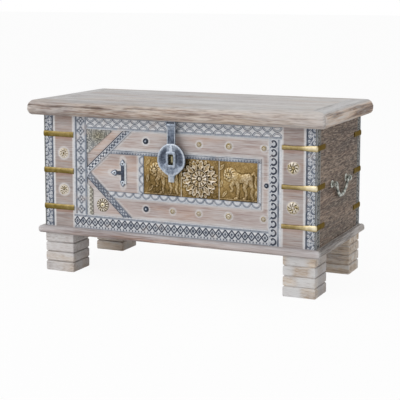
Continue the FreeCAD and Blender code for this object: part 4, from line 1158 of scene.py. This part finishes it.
def lid_streaks_and_shade(inward, z, along):
    """Painted shade on the nose's lower half and over its left part, broken dark streaks along the nose, and
    one long dark line to the left.
    """
    left = smooth(-250, 350, -along)
    far = smooth(110, 230, -along)
    # Painted shade: the downward-facing lower half of the nose, and the left part of the rail, are darkened
    low = (0.02 + 0.24 * left) * fall(462, 480, z) + 0.2 * left
    line = max(0, 1 - abs(z - 484.3 + 0.8 * sin(along * 0.031)) / 5.8)
    dark = max(low, far * (1.15 + 0.3 * sin(along * 0.05)) * line)
    for level, wide, share, turn in ((479.5, 3.4, 1, 0), (488, 3, 0.8, 1.7)):
        run = sin(along * 0.016 + turn + 2.1 * sin(along * 0.0083 + turn)) + 0.4 - along * 0.0018
        share *= (1 - 0.75 * far) * smooth(0, 0.8, run)
        dark = max(dark, share * max(0, 1 - abs(z - level) / wide))
    return dark * (inward < 59)


def lid_side_painted_shade(inward, z, along):
    # Painted shade on the lower band of the lid's side, where the nose turns under
    return 0.35 * fall(458, 470, z) * (inward < 59)


def base_edge(inward, z, along):
    """Bare brown wood on the nose, most of it left of the middle."""
    return (0.16 + 0.8 * exp(-((along + 90) / 230) ** 2)) * fall(123, 130, z)


def base_dirt_and_shade(inward, z, along):
    """Darker in the quirk, painted shade on the under side, and a broken dark streak left of the middle."""
    if 10.9 < inward < 12.1:
        return 0.7
    run = sin(along * 0.019 + 1.7 * sin(along * 0.0091)) - 0.1 - abs(along + 120) * 0.0022
    return max(0.8 * smooth(0, 0.7, run) * max(0, 1 - abs(z - 120) / 3.6), 0.4 * fall(112.6, 118, z))


LID_X = 450
LID_Y = 220
LID_ROUND = 14
BASE_X = 429.5
BASE_Y = -198
BASE_ROUND = 6
lid_profile = nose_profile(UNDER, TOP, 17, 22)
for name, outer in (("lid_rail_front", -LID_Y), ("lid_rail_back", LID_Y)):
    rail(name, lid_profile, -LID_X, LID_X, True, True, outer, lid_wood, "lid", LID_ROUND, lid_edge, lid_streaks_and_shade)
for name, outer in (("lid_rail_left", -LID_X), ("lid_rail_right", LID_X)):
    rail(name, lid_profile, -LID_Y, LID_Y, True, False, outer, lid_side_wood_painted_light, "lid", LID_ROUND, lid_edge,
         lid_side_painted_shade)
base_profile = nose_profile(FOOT_HIGH, FLOOR, 9, 9, ((10.2, FLOOR), (11.5, FLOOR - 1.6), (12.8, FLOOR)))
rail("base_front", base_profile, -BASE_X, BASE_X, True, True, BASE_Y, moulding_wood, "carcass", BASE_ROUND,
     base_edge, base_dirt_and_shade)
for name, outer in (("base_left", -BASE_X), ("base_right", BASE_X)):
    rail(name, base_profile, BASE_Y, BACK, False, False, outer, rail_wood, "carcass", BASE_ROUND, base_edge,
         base_dirt_and_shade)

# Grooved feet
FOOT_HALF = 46
BAND = 28


def square_ring(half, corner):
    """A square with small round corners, with points along its sides."""
    side = [(half, y) for y in linspace(corner - half, half - corner, 9)]
    for a in radians((22.5, 45, 67.5)):
        side.append((half - corner + corner * cos(a), half - corner + corner * sin(a)))
    points = []
    for turn in turns(4):
        points += [(cos(turn) * a - sin(turn) * b, sin(turn) * a + cos(turn) * b) for a, b in side]
    return np.array(points)


def foot(name, x, y):
    """Four rough bands parted by narrow grooves, with a white line of lime and painted highlight along their
    upper edges.
    """
    rings = []
    dirt = []
    wash = []
    warm = []
    for z in linspace(0, FOOT_HIGH, 141):
        gaps = [z - BAND * k for k in (1, 2, 3)]
        near = min(abs(gap) for gap in gaps)
        cutting = max(0, 1 - near / 2.8)
        ends = min(z, FOOT_HIGH - z)
        reach = FOOT_HALF + 0.6 - 3 * cutting - 0.9 * max(0, 1 - near / 7) ** 2 - 0.5 * max(0, 2.4 - ends)
        below = min(-gap for gap in gaps + [z - FOOT_HIGH - 4] if gap <= 0)
        outline = square_ring(reach, 2.6)
        band = int(z // BAND)
        around = np.arctan2(outline[:, 1], outline[:, 0])
        rough = 0.5 + 0.5 * sin(around * 3 + band * 1.9 + x) * sin(around * 5 + band * 2.7 + y)
        outline = outline * (1 - 0.02 * rough)[:, None]
        rings.append(np.column_stack([x + outline[:, 0], y + outline[:, 1], np.full(len(outline), z)]))
        front = smooth(0.3, 0.8, -outline[:, 1] / FOOT_HALF)
        # Darker in the grooves, less on the front of the right-hand feet; painted shade darkens the side
        # faces of the front right foot and the whole back left foot
        soil_and_shade = 0.5 * cutting * (1 - 0.8 * front * (x > 0))
        dirt.append(soil_and_shade + 0.16 * (x > 0 > y) * (1 - front) + 0.3 * (x < 0 < y))
        # White along each band's upper edge: lime, and a painted highlight where the band turns up
        limed = 0.9 * max(0, 1 - abs(below - 3.2) / 2.6) * (0.4 + 0.6 * rough)
        tan = smooth(0.3, 0.8, 0.5 + 0.5 * sin(outline[:, 0] * 0.06 - 1.2 + 2.4 * (3 - min(band, 3))))
        pale = 0 if y > 0 else (0.95 if x > 0 else 0.3)
        wash.append(most(limed, pale * front * (1 - 0.85 * tan)))
        brown = 0.95 * tan * (x > 0) * front if y < 0 else (0.9 if x > 0 else 0.6)
        warm.append(np.broadcast_to(brown, front.shape))
    shape = loft(rings, dirt=np.concatenate(dirt), wash=np.concatenate(wash), edge=np.concatenate(warm))
    make(name + "_worked", [shape], foot_wood, 0.9)


for place, sx, sy, outer_y in CORNERS:
    foot("foot_" + place, sx * (HALF - FOOT_HALF), outer_y - sy * FOOT_HALF)

# Solids that keep their own shape and take a finish
for material, *names in ((side_wood, "left_side_panel", "right_side_panel"), (front_wood, "base_back"),
                         (back_wood, "back_panel", "bottom_board"), (lid_wood, "lid_panel"),
                         (staple_tarnish_and_light, "hasp_staple"),
                         (iron, "hinge_body_leaves", "hinge_lid_leaves", "hinge_pins")):
    for name in names:
        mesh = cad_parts[name].data
        mesh.materials.clear()
        mesh.materials.append(material)


# Screws in the hinge leaves
def screw_height(r, a):
    return 0.3 + 1.1 * dome(r, 3.8) - 0.8 * groove(r * sin(a), 0.9, 0.2), {"tone": 0.35}


HINGE_X = 270
screws = []
for middle in (-HINGE_X, HINGE_X):
    for dx, z in ((-20, 434), (0, 430), (20, 434)):
        screws.append(disc((middle + dx, z, -BACK - 2), 3.4, screw_height, (0, 1, 0), 8, 32))
make("hinge_screws", screws, iron, node="")


# Floor, light and camera
def seen_directly(tree):
    """1 for rays from the camera, off a shiny surface or through glass."""
    path = tree.nodes.new("ShaderNodeLightPath")
    found = path.outputs["Is Camera Ray"]
    for name in ("Is Glossy Ray", "Is Transmission Ray"):
        both = tree.nodes.new("ShaderNodeMath")
        both.operation = "MAXIMUM"
        tree.links.new(found, both.inputs[0])
        tree.links.new(path.outputs[name], both.inputs[1])
        found = both.outputs[0]
    return found


floor_mesh = bpy.data.meshes.new("studio_floor")
floor_mesh.from_pydata([(-30, -30, 0), (30, -30, 0), (30, 30, 0), (-30, 30, 0)], [], [(0, 1, 2, 3)])
floor = bpy.data.objects.new("studio_floor", floor_mesh)
bpy.context.scene.collection.objects.link(floor)
white = Paint("studio_white", None)
floor_mesh.materials.append(white.done((0.9, 0.9, 0.9, 1), 0.9))
share = white.times(seen_directly(white.tree), 0.94)
glow = white.add("Emission", {}).outputs[0]
blend = white.add("MixShader", {0: share, 1: white.shader.outputs[0], 2: glow})
white.feed(white.tree.nodes["Material Output"].inputs["Surface"], blend.outputs[0])

world = bpy.data.worlds.new("studio")
bpy.context.scene.world = world
world.use_nodes = True
tree = world.node_tree
sky = tree.nodes["Background"]
level = tree.nodes.new("ShaderNodeMapRange")
level.inputs["To Min"].default_value = 0.5
tree.links.new(seen_directly(tree), level.inputs["Value"])
tree.links.new(level.outputs["Result"], sky.inputs["Strength"])
sky.inputs["Color"].default_value = (1, 1, 1, 1)


def lamp(name, spot, target, size, power):
    data = bpy.data.lights.new(name, "AREA")
    data.shape = "DISK"
    data.size = size
    data.energy = power
    light = bpy.data.objects.new(name, data)
    light.location = spot
    light.rotation_euler = (Vector(target) - Vector(spot)).to_track_quat("-Z", "Y").to_euler()
    bpy.context.scene.collection.objects.link(light)


lamp("key", (-2.2, -3.4, 2.6), (0, 0, 0.3), 5, 100)
lamp("top", (0.2, 0.3, 3.6), (0, 0, 0.3), 2.2, 13)

IMAGE_WIDE = 400
FOCAL_PIXELS = 1173.7
camera = bpy.data.cameras.new("camera")
camera.sensor_width = 36
camera.lens = FOCAL_PIXELS / IMAGE_WIDE * camera.sensor_width
camera.shift_y = -0.15
view_point = bpy.data.objects.new("camera", camera)
view_point.location = (1.37592, -3.05274, 0.81906)
view_point.rotation_euler = (pi / 2 - 0.12996, 0, 0.42405)
bpy.context.scene.collection.objects.link(view_point)
bpy.context.scene.camera = view_point
bpy.context.scene.view_settings.view_transform = "Standard"
